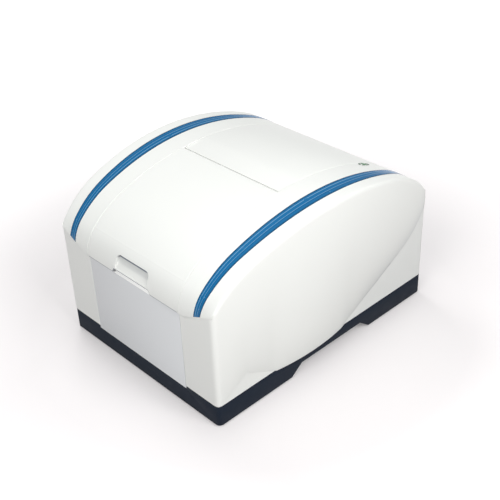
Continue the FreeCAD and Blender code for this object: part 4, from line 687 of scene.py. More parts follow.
def softened(node: str, width_mm: float, angle: float) -> bpy.types.Object:
    """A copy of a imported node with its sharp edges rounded.

    Args:
        node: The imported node's name.
        width_mm: Width of the rounded edge.
        angle: Folds sharper than this many degrees are rounded.

    Returns:
        The copy, which replaces the node.
    """
    copy = linked(node + "_soft", FRAME["nodes"][node].data.copy())
    copy.data.name = copy.name
    with opened(copy.data, join=1e-5) as work:
        bmesh.ops.dissolve_limit(work, angle_limit=math.radians(1.0), verts=work.verts, edges=work.edges)
        for face in work.faces:
            face.smooth = True
    round_edges(copy, width_mm, 2, limit_method="ANGLE", angle_limit=math.radians(angle),
                use_clamp_overlap=True, miter_outer="MITER_ARC")
    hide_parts(node)
    return copy


def mark_sharp(obj: bpy.types.Object, degrees: float) -> None:
    """Shade smooth, with folds past an angle kept sharp.

    Args:
        obj: The object.
        degrees: The angle.
    """
    for polygon in obj.data.polygons:
        polygon.use_smooth = True
    obj.data.set_sharp_from_angle(angle=math.radians(degrees))


def shaded(obj: bpy.types.Object, rule: Callable[[Numbers, Numbers, Numbers], Numbers]) -> None:
    """Write the painted shade of each point, which the hood's finish reads.

    Args:
        obj: The piece, already in its place.
        rule: Gives the share of painted shade from x, y and z in millimetres.
    """
    points = np.array([tuple(vertex.co) for vertex in obj.data.vertices]) / MM
    layer = obj.data.attributes.new("shade", "FLOAT", "POINT")
    layer.data.foreach_set("value", np.clip(rule(*points.T), 0.0, 1.0).astype(np.float32))


# The hood's form


@dataclass(frozen=True)
class HoodForm:
    """The arched skin and bowed sides of the hood, in millimetres."""

    wide: float = 200.0
    deep: float = 265.0
    top: float = 323.0
    seat: float = 45.0
    chin_edge: float = 198.0
    crown: float = 500.0
    shoulder: float = 185.0
    lean: float = 0.37
    chin_run: float = 18.0
    proud: float = 3.0
    step: float = 0.05
    brow_flat: float = 133.0
    bow: float = 16.0
    corner: float = 9.0
    crease: float = 4.5
    brow: float = 1.6
    foot_middle: float = -48.0
    foot_half: float = 92.0
    foot_step: float = 1.0
    foot_out: float = 9.0
    front_run: float = 65.0
    front_peak: float = 37.0
    sweep_start: float = 34.0
    sweep_rise: float = 122.0
    sweep_gap: float = 12.0
    sweep_power: int = 10
    low_pull: float = 13.0
    high_pull: float = 6.0
    low_knot: float = 0.16
    high_knot: float = 0.64

    @property
    def upright(self) -> float:
        """Cosine of the angle at which the crown meets the shoulder."""
        return math.sqrt(1.0 - self.lean ** 2)

    @property
    def shoulder_centre(self) -> tuple[float, float]:
        """Distance behind the middle, and height, of the rear shoulder's centre."""
        run = self.crown - self.shoulder
        return run * self.lean, self.top - self.crown + run * self.upright

    def bowed(self, y: Numbers) -> Numbers:
        """How far the side stands out at its crease at y."""
        return self.bow * (1 - np.minimum(np.abs(y) / self.deep, 1.0) ** 2)

    def arch_z(self, y: Numbers) -> Numbers:
        """Height of the crown and shoulders.

        Args:
            y: Places from front to back.

        Returns:
            The heights.
        """
        reach = np.abs(y)
        back, high = self.shoulder_centre
        crown = self.top - self.crown + np.sqrt(np.maximum(self.crown ** 2 - reach ** 2, 0.0))
        side = high + np.sqrt(np.maximum(self.shoulder ** 2 - (reach - back) ** 2, 0.0))
        return np.where(reach <= self.crown * self.lean, crown, side)

    def fall(self, x: Numbers) -> Numbers:
        """Share of the way from the level chin to the corner."""
        return np.clip((np.abs(x) - self.brow_flat) / (self.wide - self.brow_flat), 0.0, 1.0)

    def chin(self, x: Numbers) -> tuple[Numbers, Numbers, Numbers, Numbers, Numbers]:
        """The chin's circle at x.

        Args:
            x: Places across the hood.

        Returns:
            Centre y, centre z, radius, and the y and z of its lower end.
        """
        fall = self.fall(x)
        proud = self.proud * (1 - fall) + self.step
        end_z = float(self.arch_z(np.array(self.deep + self.step)))
        foot_y = -self.deep - proud
        foot_z = self.chin_edge * (1 - fall) + end_z * fall
        back, high = self.shoulder_centre
        start = back - self.deep + self.chin_run
        out_y, out_z = start / self.shoulder, math.sqrt(self.shoulder ** 2 - start ** 2) / self.shoulder
        top_y, top_z = -back + out_y * self.shoulder, high + out_z * self.shoulder
        run_y, run_z = foot_y - top_y, foot_z - top_z
        radius = -(run_y ** 2 + run_z ** 2) / (2 * (run_y * out_y + run_z * out_z))
        return top_y - out_y * radius, top_z - out_z * radius, radius, foot_y, foot_z

    def chin_angle(self) -> float:
        """Angle at which the chin leaves the front shoulder."""
        return math.asin((self.shoulder_centre[0] - self.deep + self.chin_run) / self.shoulder)

    def skin_point(self, x: Numbers, angle: Numbers) -> tuple[Numbers, Numbers]:
        """A point of the arched skin where its normal leans by an angle.

        Args:
            x: Places across the hood.
            angle: Lean of the normal towards the back, in radians.

        Returns:
            The y and z of each point.
        """
        back, high = self.shoulder_centre
        sine, cosine = np.sin(angle), np.cos(angle)
        chin_y, chin_z, chin_r, _, _ = self.chin(x)
        on_crown = np.abs(sine) <= self.lean
        y = np.where(on_crown, self.crown * sine, np.sign(sine) * back + self.shoulder * sine)
        z = np.where(on_crown, self.top - self.crown + self.crown * cosine, high + self.shoulder * cosine)
        on_chin = angle < self.chin_angle()
        return np.where(on_chin, chin_y + chin_r * sine, y), np.where(on_chin, chin_z + chin_r * cosine, z)

    def foot_angle(self, x: Numbers) -> Numbers:
        """Lean of the skin's normal at the lower end of the chin at x."""
        chin_y, chin_z, _, foot_y, foot_z = self.chin(x)
        return np.arctan2(foot_y - chin_y, foot_z - chin_z)

    def over_arch(self, x: Numbers, y: Numbers, z: Numbers) -> Numbers:
        """Distance above the arched skin, negative below it.

        Args:
            x: Places across, in millimetres.
            y: Places from front to back.
            z: Heights.

        Returns:
            The distances.
        """
        back, high = self.shoulder_centre
        crown = np.hypot(y, z - self.top + self.crown) - self.crown
        reach = np.abs(y)
        side = np.where(z > high, np.hypot(reach - back, z - high), reach - back) - self.shoulder
        on_crown = reach * (high - self.top + self.crown) < back * (z - self.top + self.crown)
        arch = np.where(on_crown, crown, side)
        chin_y, chin_z, chin_r, _, _ = self.chin(x)
        chin = np.where(z > chin_z, np.hypot(y - chin_y, z - chin_z), chin_y - y) - chin_r
        split = np.arctan2(y + back, np.maximum(z - high, 1e-6))
        return np.where((y < 0) & (split < self.chin_angle()) & ~on_crown, chin, arch)

    def before_front(self, x: Numbers, y: Numbers, z: Numbers) -> Numbers:
        """Distance before the front, whose upper end steps out to the chin.

        Args:
            x: Places across, in millimetres.
            y: Places from front to back.
            z: Heights.

        Returns:
            The distances.
        """
        proud = self.proud * (1 - self.fall(x)) + self.step
        return -y - self.deep - np.clip(z - (self.chin(x)[4] - proud), 0.0, proud)

    def side_foot(self, y: Numbers) -> tuple[Numbers, Numbers]:
        """Foot of the bulged side: a low peak at the front, and the sweep that rises to the rear.

        Args:
            y: Places from front to back.

        Returns:
            Its height, and how far it stands out there.
        """
        middle = (y - self.foot_middle) / self.foot_half
        out = self.foot_step + self.foot_out * np.maximum(0.0, 1.0 - middle ** 2)
        run = y + self.deep
        front = self.front_peak * np.minimum(2.0 - run / self.front_run, run / self.front_run)
        share = np.clip((y - self.sweep_start) / (self.deep - self.sweep_start), 0.0, 1.0)
        full = float(self.arch_z(np.array(self.deep))) - self.seat - self.sweep_gap
        rear = self.sweep_rise * share + (full - self.sweep_rise) * share ** self.sweep_power
        return self.seat + np.where(run < 2.0 * self.front_run, np.maximum(front, 0.0), rear), out

    def side_section(self, y: Numbers, share: Numbers) -> tuple[Numbers, Numbers]:
        """A point of the bulged side's section.

        Args:
            y: Stations along the side.
            share: Part of the way from the foot to the crease.

        Returns:
            The x and z of each point.
        """
        foot_z, foot_out = self.side_foot(y)
        tall = self.arch_z(np.clip(y, -self.deep, self.deep)) - foot_z
        bow = self.bowed(y)
        full = bow / self.bow
        low_x, high_x = self.wide + foot_out, self.wide + np.maximum(bow, foot_out * 0.5)
        a, b, c, d = (1 - share) ** 3, 3 * share * (1 - share) ** 2, 3 * share ** 2 * (1 - share), share ** 3
        x = a * low_x + b * (low_x + self.low_pull * full) + c * (high_x + self.high_pull * full) + d * high_x
        return x, foot_z + tall * (b * self.low_knot + c * self.high_knot + d)

    def beyond_side(self, x: Numbers, y: Numbers, z: Numbers) -> Numbers:
        """Distance outside the bulged side, which runs straight on above its crease.

        Args:
            x: Places across, in millimetres.
            y: Places from front to back.
            z: Heights.

        Returns:
            The distances.
        """
        foot_z, _ = self.side_foot(y)
        crease_z = self.arch_z(np.clip(y, -self.deep, self.deep))
        tall = np.maximum(crease_z - foot_z, 1.0)
        low, high = 3 * self.low_knot, 3 * self.high_knot
        inside = np.clip((z - foot_z) / tall, 0.0, 1.0)
        share = inside.copy()
        for _ in range(6):
            rest = 1 - share
            value = low * share * rest ** 2 + high * share ** 2 * rest + share ** 3 - inside
            slope = low * rest * (1 - 3 * share) + high * share * (2 - 3 * share) + 3 * share ** 2
            share = np.clip(share - value / np.maximum(slope, 0.25), 0.0, 1.0)
        lean = self.high_pull * self.bowed(y) / self.bow / ((1 - self.high_knot) * tall)
        return x - self.side_section(y, share)[0] + np.maximum(z - crease_z, 0.0) * lean

    @staticmethod
    def meet(first: Numbers, second: Numbers, radius: float) -> Numbers:
        """Distance outside two surfaces that meet in a rounded edge.

        Args:
            first: Distance outside one surface.
            second: Distance outside the other.
            radius: Radius of the edge.

        Returns:
            The distance outside both.
        """
        a, b = first + radius, second + radius
        return np.hypot(np.maximum(a, 0), np.maximum(b, 0)) + np.minimum(np.maximum(a, b), 0.0) - radius

    def outside(self, points: Numbers, bulged: bool = True) -> Numbers:
        """Distance outside the rounded hood.

        Args:
            points: Rows of x, y and z.
            bulged: Whether the side is the bulge, or the flat side under it.

        Returns:
            One distance for each point.
        """
        x, y, z = points.T
        side = self.beyond_side(x, y, z) if bulged else x - self.wide
        front = self.before_front(x, y, z)
        rear = y - self.deep
        ends = self.meet(self.meet(side, front, self.corner), rear, self.corner)
        arch = self.over_arch(x, y, z)
        return np.maximum(self.meet(ends, arch, self.brow), self.meet(side, arch, self.crease))

    def slope(self, points: Numbers, bulged: bool = True) -> Numbers:
        """Direction in which the distance outside the hood grows.

        Args:
            points: Rows of x, y and z.
            bulged: Whether the side is the bulge, or the flat side under it.

        Returns:
            One direction for each point.
        """
        nudge = 0.05
        result = np.zeros_like(points)
        for axis in range(3):
            delta = np.zeros(3)
            delta[axis] = nudge
            ahead = self.outside(points + delta, bulged)
            behind = self.outside(points - delta, bulged)
            result[:, axis] = (ahead - behind) / (2 * nudge)
        return result

    def settle_on(self, points: Numbers, bulged: bool = True) -> Numbers:
        """Points moved onto the rounded hood.

        Args:
            points: Rows of x, y and z.
            bulged: Whether the side is the bulge, or the flat side under it.

        Returns:
            The moved points.
        """
        moved = points.copy()
        for _ in range(5):
            far = self.outside(moved, bulged)
            way = self.slope(moved, bulged)
            moved -= way * (far / np.maximum((way ** 2).sum(axis=1), 0.2))[:, None]
        return moved


def near_ends(count: int, gaps: Sequence[float], length: float) -> Numbers:
    """Places from 0 to 1 that crowd at both ends.

    Args:
        count: Even steps in the middle.
        gaps: Distances of the first places from each end.
        length: The whole length.

    Returns:
        The places as shares of the length.
    """
    low = [gap / length for gap in gaps]
    middle = np.linspace(low[-1], 1 - low[-1], count + 1)[1:-1]
    return np.array([*low, *middle, *[1 - share for share in reversed(low)]])


# Sub-assemblies of the hood


@dataclass
class Cheek:
    """A bowed side moulding of the hood with its seam flange."""

    form: HoodForm = field(default_factory=HoodForm)
    seam: float = 121.1
    seam_round: float = 1.0
    flange: float = 14.0
    wall: float = 2.6
    lip: float = 0.7
    bead: float = 0.42
    bead_wide: float = 0.75
    bead_top: float = 318.0
    bead_fade: float = 8.0
    bead_run: float = 20.0
    bead_limit: float = 0.04
    widest: float = 218.0
    squeeze: float = 0.84
    # Painted shade under the rear sweep, and on the flat side below it.
    sweep_dark: float = 0.24
    sweep_fade: float = 26.0
    sweep_from: float = 10.0
    sweep_run: float = 90.0
    under_dark: float = 0.10
    side_band: float = 4.0
    outline_round: float = 6.0

    def columns(self) -> Numbers:
        """Shares of the way from the seam to the crease."""
        return near_ends(16, (0.0, 0.5, 1.2, 2.2, 3.6, 6.0, 10.0), 84.0)

    def angles(self) -> tuple[Numbers, Numbers]:
        """Shares of the chin's stations, and the angles of the stations behind it.

        Returns:
            The shares and the angles.
        """
        chin_angle = self.form.chin_angle()
        rear_angle = math.asin((self.form.deep - self.form.shoulder_centre[0]) / self.form.shoulder)
        rest = chin_angle + (rear_angle - chin_angle) * near_ends(96, (0.0, 0.003, 0.008, 0.02), 1.0)
        return near_ends(16, (0.0, 0.012, 0.03, 0.06), 1.0), rest[1:]

    def top_sheet(self) -> Numbers:
        """Points of the arched patch, stations by columns.

        Returns:
            The points.
        """
        chin, rest = self.angles()
        share = self.columns()
        foot = self.form.foot_angle(self.seam + share * (self.form.wide + 0.5 - self.seam))
        rows = [self._row(share, foot + step * (self.form.chin_angle() - foot)) for step in chin]
        return np.array(rows + [self._row(share, np.full_like(share, angle)) for angle in rest])

    def _row(self, share: Numbers, angle: Numbers) -> Numbers:
        """One station of the arched patch.

        Args:
            share: Shares of the way from the seam to the crease.
            angle: Lean of the skin's normal at each of them.

        Returns:
            The station's points.
        """
        form = self.form
        y, z = form.skin_point(self.seam + share * (form.wide + 0.5 - self.seam), angle)
        out = form.side_foot(y)[1] * 0.5
        x = self.seam + share * (form.wide + np.maximum(form.bowed(y), out) - self.seam)
        return np.stack([x, y, z], axis=1)

    def side_sheets(self, crease: Numbers) -> tuple[Numbers, Numbers]:
        """Points of the bulged side and of the flat side under it.

        Args:
            crease: The stations' points along the crease.

        Returns:
            Bulge and flat, heights by stations.
        """
        form = self.form
        y = np.clip(crease[:, 1], -form.deep, form.deep)
        foot_z, _ = form.side_foot(y)
        bulge = []
        for share in near_ends(30, (0.0, 0.004, 0.012, 0.026, 0.05), 1.0):
            x, z = form.side_section(y, np.full_like(y, share))
            bulge.append(np.stack([x, y, z], axis=1))
        flat = [np.stack([np.full_like(y, form.wide), y, form.seat + share * (foot_z - form.seat)], axis=1)
                for share in np.linspace(0.0, 1.0, 13)]
        return np.array(bulge), np.array(flat)

    def end_sheet(self, edge: Numbers, corner: Numbers) -> Numbers:
        """Points of the front or the rear.

        Args:
            edge: The top patch's end row, from the seam to the corner.
            corner: The side's end column, from the seat to the crease.

        Returns:
            Points, heights by columns.
        """
        seat = self.form.seat
        share = (corner[:, 2] - seat) / (corner[-1, 2] - seat)
        even = np.linspace(0.0, 1.0, len(share))
        columns = self.columns()
        sheet = np.zeros((len(share), len(columns), 3))
        for c, along in enumerate(columns):
            up = share * along ** 3 + even * (1 - along ** 3)
            sheet[:, c, 0] = self.seam + along * (corner[:, 0] - self.seam)
            sheet[:, c, 1] = edge[c, 1]
            sheet[:, c, 2] = seat + up * (edge[c, 2] - seat)
        return sheet

    def sheets(self) -> tuple[Numbers, Numbers, Numbers, Numbers, Numbers]:
        """The five sheets of the skin, laid on the rounded hood.

        Returns:
            Top, bulge, flat side, front and rear.
        """
        form = self.form
        top = self.top_sheet()
        bulge, flat = self.side_sheets(top[:, -1])
        bulge[-1] = top[:, -1]
        corners = [np.concatenate([flat[:, n], bulge[1:, n]]) for n in (0, -1)]
        front, rear = self.end_sheet(top[0], corners[0]), self.end_sheet(top[-1], corners[1])
        x = front[:, :, 0]
        proud = form.proud * (1 - form.fall(x)) + form.step
        front[:, :, 1] = -form.deep - np.clip(front[:, :, 2] - (form.chin(x)[4] - proud), 0.0, proud)
        rear[:, :, 1] = form.deep
        for sheet, corner, edge in ((front, corners[0], top[0]), (rear, corners[1], top[-1])):
            sheet[:, -1] = corner
            sheet[-1] = edge
        top, bulge, flat = (form.settle_on(sheet.reshape(-1, 3), bulged).reshape(sheet.shape)
                            for sheet, bulged in ((top, True), (bulge, True), (flat, False)))
        front, rear = self.settled_end(front), self.settled_end(rear)
        for sheet in (flat, front, rear):
            sheet[0, :, 2] = form.seat
        top, front = self.raised(top), self.raised(front)
        for sheet in (top, bulge):
            sheet[:, :, 0] -= (1.0 - self.squeeze) * np.maximum(sheet[:, :, 0] - self.widest, 0.0)
        return top, bulge, flat, front, rear

    def build(self, name: str, mirrored: bool) -> bpy.types.Object:
        """The side moulding.

        Args:
            name: Its name.
            mirrored: True for the left side.

        Returns:
            The object.
        """
        top, bulge, flat, front, rear = self.sheets()
        ledge = np.array([flat[-1], bulge[0]])
        seam = self.seam_edge(np.concatenate([front[:-1, 0], top[:, 0], rear[:-1, 0][::-1]]))
        points: list[Numbers] = []
        faces: list[tuple[int, ...]] = []
        for sheet, turned in ((top, True), (bulge, True), (flat, True), (front, False), (rear, True),
                              (ledge, True), (seam, True)):
            faces += grid_faces(*sheet.shape[:2], sum(len(p) for p in points), turned)
            points.append(sheet.reshape(-1, 3))
        obj = outward(mesh_object(name, np.concatenate(points), faces))
        face_up(obj)
        if mirrored:
            mirror(obj)
        thicken(obj, self.wall)
        # Painted shade under the rear sweep, read by the hood's finish.
        shaded(obj, self.shade)
        return obj

    def settled_end(self, sheet: Numbers) -> Numbers:
        """The front or rear moved onto the hood, bulged above the foot of the sweep and flat below it.

        Args:
            sheet: Its points.

        Returns:
            The moved points.
        """
        spots = sheet.reshape(-1, 3)
        foot, _ = self.form.side_foot(np.clip(spots[:, 1], -self.form.deep, self.form.deep))
        above = (spots[:, 2] > foot + 0.01)[:, None]
        moved = np.where(above, self.form.settle_on(spots, True), self.form.settle_on(spots, False))
        return moved.reshape(sheet.shape)

    def raised(self, sheet: Numbers) -> Numbers:
        """A sheet with a fine bead raised along the seam, down the front and over the chin.

        Args:
            sheet: Its points.

        Returns:
            The raised points.
        """
        spots = sheet.reshape(-1, 3)
        high = self.bead * np.exp(-((spots[:, 0] - self.seam - 1.0) / self.bead_wide) ** 2)
        high *= np.clip((self.bead_top - spots[:, 2]) / self.bead_fade, 0.0, 1.0)
        high *= np.clip(-spots[:, 1] / self.bead_run, 0.0, 1.0)
        spots = spots + self.form.slope(spots) * high[:, None]
        spots[:, 1] = np.maximum(spots[:, 1], -self.form.deep - self.form.proud - self.bead_limit)
        return spots.reshape(sheet.shape)

    def shade(self, x: Numbers, y: Numbers, z: Numbers) -> Numbers:
        """Painted shade under the rear sweep: strongest along the sweep, weaker on the flat below it.

        Args:
            x: Places across, in millimetres.
            y: Places from front to back.
            z: Heights.

        Returns:
            The share of painted shade.
        """
        up = z - self.form.side_foot(np.clip(y, -self.form.deep, self.form.deep))[0]
        rear = np.clip((y - self.sweep_from) / self.sweep_run, 0.0, 1.0)
        over = self.sweep_dark * np.exp(-np.maximum(up, 0.0) / self.sweep_fade)
        tone = np.where(up > 0.3, over * rear, self.under_dark * rear)
        return np.where(np.abs(x) > self.form.wide - self.side_band, tone, 0.0)

    def seam_edge(self, loop: Numbers) -> Numbers:
        """Rows that round the seam's edge and run in as its flange.

        Args:
            loop: Points of the skin's own edge.

        Returns:
            The rows, the skin's edge first.
        """
        form = self.form
        x, y, z = np.full(len(loop), self.seam), loop[:, 1], loop[:, 2]

        def above(dy: float, dz: float) -> Numbers:
            """Distance outside the hood's outline, a little way off each point."""
            front, arch = (rule(x, y + dy, z + dz) for rule in (form.before_front, form.over_arch))
            ends = form.meet(front, arch, self.outline_round)
            return form.meet(ends, y + dy - form.deep, self.outline_round)

        nudge = 0.05
        out_y, out_z = above(nudge, 0.0) - above(-nudge, 0.0), above(0.0, nudge) - above(0.0, -nudge)
        length = np.maximum(np.hypot(out_y, out_z), 1e-7)
        out_y, out_z = out_y / length, out_z / length
        turn, lip = self.seam_round, self.seam_round + self.lip
        steps = [(0.0, 0.0)]
        steps += [(-turn * math.sin(a), turn * (1 - math.cos(a))) for a in np.radians((22.5, 45, 67.5, 90))]
        steps += [(-lip, turn + 0.25), (-lip, turn + 1.5), (-turn, turn + 1.8), (-turn, self.flange)]
        return np.array([np.stack([loop[:, 0] + aside, y - out_y * inward, z - out_z * inward], axis=1)
                         for aside, inward in steps])

    def dress(self, shop: Paintshop) -> None:
        """Build both sides and give them the hood's finish.

        Args:
            shop: The materials.
        """
        for side, mirrored in (("right", False), ("left", True)):
            obj = paint(self.build(side + "_side_moulding", mirrored), shop.mix(HOOD_WHITE))
            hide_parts(side + "_cheek")
            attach(obj, "case")
            LOG.info("side moulding %s: %d faces", side, len(obj.data.polygons))


@dataclass(frozen=True)
class ScoopShade:
    """Painted shade inside the lid's scoop and a painted shadow line along its lower edge, as shares and
    millimetres.
    """

    # A painted shadow line under the scoop's top rim, then a lighter painted veil of shade below it.
    line: float = 0.85
    line_end: float = 7.9
    line_soft: float = 1.2
    veil: float = 0.15
    veil_end: float = 16.5
    veil_soft: float = 3.0
    # Painted shade at the foot of the scoop's right-hand wall.
    side: float = 0.45
    side_wide: float = 1.6
    side_lean: float = 0.45
    # A painted shadow line along the lid's lower edge and its notch.
    lip: float = 0.6
    lip_tall: float = 1.3
    lip_soft: float = 0.5


@dataclass
class Lid:
    """The sample bay's lid skin, with its rolled edge, notch and finger scoop."""

    form: HoodForm = field(default_factory=HoodForm)
    tone: ScoopShade = field(default_factory=ScoopShade)
    half: float = 119.9
    edge: float = 1.0
    rim: float = 8.0
    back: float = -42.0
    roll: float = 6.0
    notch_half: float = 50.2
    notch_slant: float = 4.1
    notch_rise: float = 7.5
    notch_fade: float = 216.0
    scoop_half: float = 42.0
    scoop_low: float = 208.5
    scoop_high: float = 232.5
    scoop_round: float = 8.0
    scoop_foot: float = 4.0
    scoop_behind: float = -240.0
    scoop_rim: float = 0.36
    scoop_inner: float = 0.7
    scoop_tuck: float = -0.55
    scoop_least: float = 0.4
    front_behind: float = -255.0
    ridge: float = 0.16
    undercut: float = 1.6
    floor_low: float = -267.05
    floor_high: float = -248.4
    wall: float = 2.2
    fine: float = 0.7
    lip_drop: float = 0.9
    lip_deep: float = 2.4

    def across(self) -> list[tuple[float, float]]:
        """Places across the lid.

        Returns:
            Pairs of x and depth under the skin.
        """
        flat_end = self.half - self.edge
        outer = [*np.linspace(53.0, flat_end - 4.0, 12), flat_end - 1.5, flat_end]
        flat = [*np.arange(-45.5, 45.6, self.fine), -50.4, -49.9, -46.3, -45.9, 45.9, 46.3, 49.9, 50.4,
                *outer, *[-x for x in outer]]
        turn = [(flat_end + self.edge * math.sin(a), self.edge * (1 - math.cos(a)))
                for a in np.radians((22.5, 45.0, 67.5, 90.0))]
        turn += [(self.half, self.edge + 3.0), (self.half, self.rim)]
        return [(-x, g) for x, g in reversed(turn)] + [(x, 0.0) for x in sorted(set(flat))] + turn

    def along(self) -> list[tuple[float, float, float, float]]:
        """Profile of the skin from the chin's edge to the rolled edge.

        Returns:
            Rows of y, z and the normal's y and z.
        """
        form = self.form
        middle = np.array(0.0)
        _, chin_z, chin_r, _, _ = (float(v) for v in form.chin(middle))
        turn, hinge = form.chin_angle(), math.asin(self.back / form.crown)
        heights = [*np.arange(198.9, 203.0, 0.8), *np.arange(203.4, 241.0, self.fine)]
        angles = [float(form.foot_angle(middle))]
        angles += [math.asin(min(1.0, (z - chin_z) / chin_r)) - math.pi / 2 for z in heights]
        angles += [*np.linspace(angles[-1], turn, 12)[1:], *np.linspace(turn, hinge, 70)[1:]]
        rows = []
        for angle in sorted(angles + [turn + n * 0.0035 for n in range(-6, 7) if n]):
            y, z = form.skin_point(middle, np.array(angle))
            ridge = self.ridge * math.exp(-((angle - turn) / 0.009) ** 2)
            sine, cosine = math.sin(angle), math.cos(angle)
            rows.append((float(y) + ridge * sine, float(z) + ridge * cosine, sine, cosine))
        centre_z = float(form.arch_z(np.array(self.back))) - self.roll
        for angle in np.linspace(hinge, math.radians(200), 22)[1:]:
            sine, cosine = math.sin(angle), math.cos(angle)
            rows.append((self.back + self.roll * sine, centre_z + self.roll * cosine, sine, cosine))
        first_y, first_z, out_y, out_z = rows[0]
        lip = []
        for lean in np.radians((90.0, 67.5, 45.0, 22.5)):
            depth = self.edge * (1 - math.cos(lean))
            lip.append((first_y - depth * out_y, first_z + self.edge * (1 - math.sin(lean)) - self.lip_drop,
                        out_y, out_z))
        return [(first_y + self.lip_deep, lip[0][1], 0.0, -1.0), *lip, *rows]

    def build(self, name: str) -> bpy.types.Object:
        """The lid's skin with its wall.

        Args:
            name: The piece's name.

        Returns:
            The object.
        """
        across, along = self.across(), self.along()
        points = np.array([(x, y - g * ny, z - g * nz) for y, z, ny, nz in along for x, g in across])
        self._notch(points)
        self._scoop(points)
        obj = mesh_object(name, points, grid_faces(len(along), len(across)))
        face_up(obj)
        thicken(obj, self.wall)
        # Painted shade in the scoop and along the lower edge, read by the hood's finish.
        shaded(obj, self.shade)
        return obj

    def in_notch(self, x: Numbers) -> Numbers:
        """How far the notch has its full height at x, from 0 to 1."""
        return np.clip((self.notch_half - np.abs(x)) / self.notch_slant, 0.0, 1.0)

    def shade(self, x: Numbers, y: Numbers, z: Numbers) -> Numbers:
        """Painted shade inside the scoop and a painted shadow line along the lid's lower edge.

        Args:
            x: Places across, in millimetres.
            y: Places from front to back.
            z: Heights.

        Returns:
            The share of painted shade.
        """
        tone = self.tone
        deep = np.clip((-self.form.over_arch(x, y, z) - 0.25) / 0.4, 0.0, 1.0)
        down, up = self.scoop_high - z, z - self.scoop_low
        aside = self.scoop_half - x - tone.side_lean * up
        # Painted shadow line under the top rim, a lighter painted veil below it, and painted shade by the
        # right-hand wall.
        dark = tone.line * np.clip((tone.line_end - down) / tone.line_soft, 0.0, 1.0)
        dark += tone.veil * np.clip((tone.veil_end - down) / tone.veil_soft, 0.0, 1.0)
        dark += tone.side * (np.clip((tone.side_wide - aside) / tone.side_wide, 0.0, 1.0)
                             * np.clip((up - 2.0) / 6.0, 0.0, 1.0))
        inside = (np.abs(x) < self.scoop_half + 1.0) & (y < self.scoop_behind) & (up > 0.0) & (down > -3.0)
        # Painted shadow line along the lid's lower edge, raised in the notch.
        lip = self.form.chin_edge + self.notch_rise * self.in_notch(x)
        edge = tone.lip * np.clip((lip + tone.lip_tall - z) / tone.lip_soft, 0.0, 1.0)
        edge = edge * (y < self.front_behind) * (np.abs(x) < self.half - 1.0)
        return np.where(inside, deep * dark, 0.0) + edge

    def _notch(self, points: Numbers) -> None:
        """Raise the chin's edge inside the notch.

        Args:
            points: The skin's points, which are moved.
        """
        x, y, z = points.T
        fade = np.clip((self.notch_fade - z) / (self.notch_fade - self.form.chin_edge), 0.0, 1.0)
        rise = self.in_notch(x) * self.notch_rise * fade
        points[:, 2] += np.where((y < self.front_behind) & (z < self.notch_fade), rise, 0.0)

    def _scoop(self, points: Numbers) -> None:
        """Press the finger scoop into the chin.

        Args:
            points: The skin's points, which are moved.
        """
        x, y, z = points.T
        tall = self.scoop_high - self.scoop_low
        middle = (self.scoop_low + self.scoop_high) / 2
        near = (np.abs(x) < self.scoop_half + 4) & (z > self.scoop_low - 3) & (z < self.scoop_high + 4)
        near &= y < self.scoop_behind
        radius = np.where(z > middle, self.scoop_round, self.scoop_foot)
        side, high = np.abs(x) - (self.scoop_half - radius), np.abs(z - middle) - (tall / 2 - radius)
        corner = np.hypot(np.maximum(side, 0), np.maximum(high, 0))
        most = np.maximum(side, high)
        far = corner + np.minimum(most, 0.0) - radius
        length = np.maximum(corner, 1e-6)
        way_x = np.where(most > 0, np.maximum(side, 0) / length, (side > high) * 1.0) * np.sign(x)
        way_z = np.where(most > 0, np.maximum(high, 0) / length, (side <= high) * 1.0) * np.sign(z - middle)
        reach = self.scoop_rim
        under = np.where(way_z > 0.7, self.undercut, self.scoop_tuck)
        inner = near & (far <= -reach) & (far > -reach - self.scoop_inner)
        shift = np.where(near & (np.abs(far) < reach), -far, np.where(inner, under - far, 0.0))
        pressed = near & (far <= -reach)
        points[:, 0] += shift * way_x
        points[:, 2] += shift * way_z
        floor = self.floor_low + (points[:, 2] - self.scoop_low) * (self.floor_high - self.floor_low) / tall
        points[:, 1] = np.where(pressed, np.maximum(floor, points[:, 1] + self.scoop_least), points[:, 1])

    def dress(self, shop: Paintshop) -> None:
        """Build the lid and give it the hood's finish.

        Args:
            shop: The materials.
        """
        obj = paint(self.build("lid_skin"), shop.mix(HOOD_WHITE))
        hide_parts("sample_lid")
        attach(obj, "lid")
        LOG.info("lid skin: %d faces", len(obj.data.polygons))


# Geometry node trees


class Rule(Board):
    """A geometry tree with named inputs, run on an empty object and turned into plain mesh."""

    def __init__(self, name: str, **inputs: float) -> None:
        """Start a tree.

        Args:
            name: The tree's name.
            inputs: Named sizes and their values, in metres, radians or counts.
        """
        super().__init__(bpy.data.node_groups.new(name, "GeometryNodeTree"))
        self.values = inputs
        for label, value in inputs.items():
            kind = "NodeSocketInt" if isinstance(value, int) else "NodeSocketFloat"
            self.tree.interface.new_socket(label, in_out="INPUT", socket_type=kind)
        self.tree.interface.new_socket("Geometry", in_out="OUTPUT", socket_type="NodeSocketGeometry")
        self.entry = self.tree.nodes.new("NodeGroupInput")

    def __getitem__(self, label: str) -> Wire:
        """A named input."""
        return self.out(self.entry, label)

    def run(self, name: str, geometry: bpy.types.Node, material: bpy.types.Material) -> bpy.types.Object:
        """Finish the tree and make its mesh.

        Args:
            name: The piece's name.
            geometry: The node that makes its shape.
            material: Its finish.

        Returns:
            The piece as a plain mesh object.
        """
        real = self.add("GeometryNodeRealizeInstances", None, Geometry=geometry)
        dressed = self.add("GeometryNodeSetMaterial", None, Geometry=real, Material=material)
        self.add("NodeGroupOutput", None, in0=dressed)
        obj = linked(name, bpy.data.meshes.new(name))
        modifier = obj.modifiers.new("rule", "NODES")
        modifier.node_group = self.tree
        for item in self.tree.interface.items_tree:
            if item.in_out == "INPUT":
                modifier[item.identifier] = self.values[item.name]
        return settle(obj)


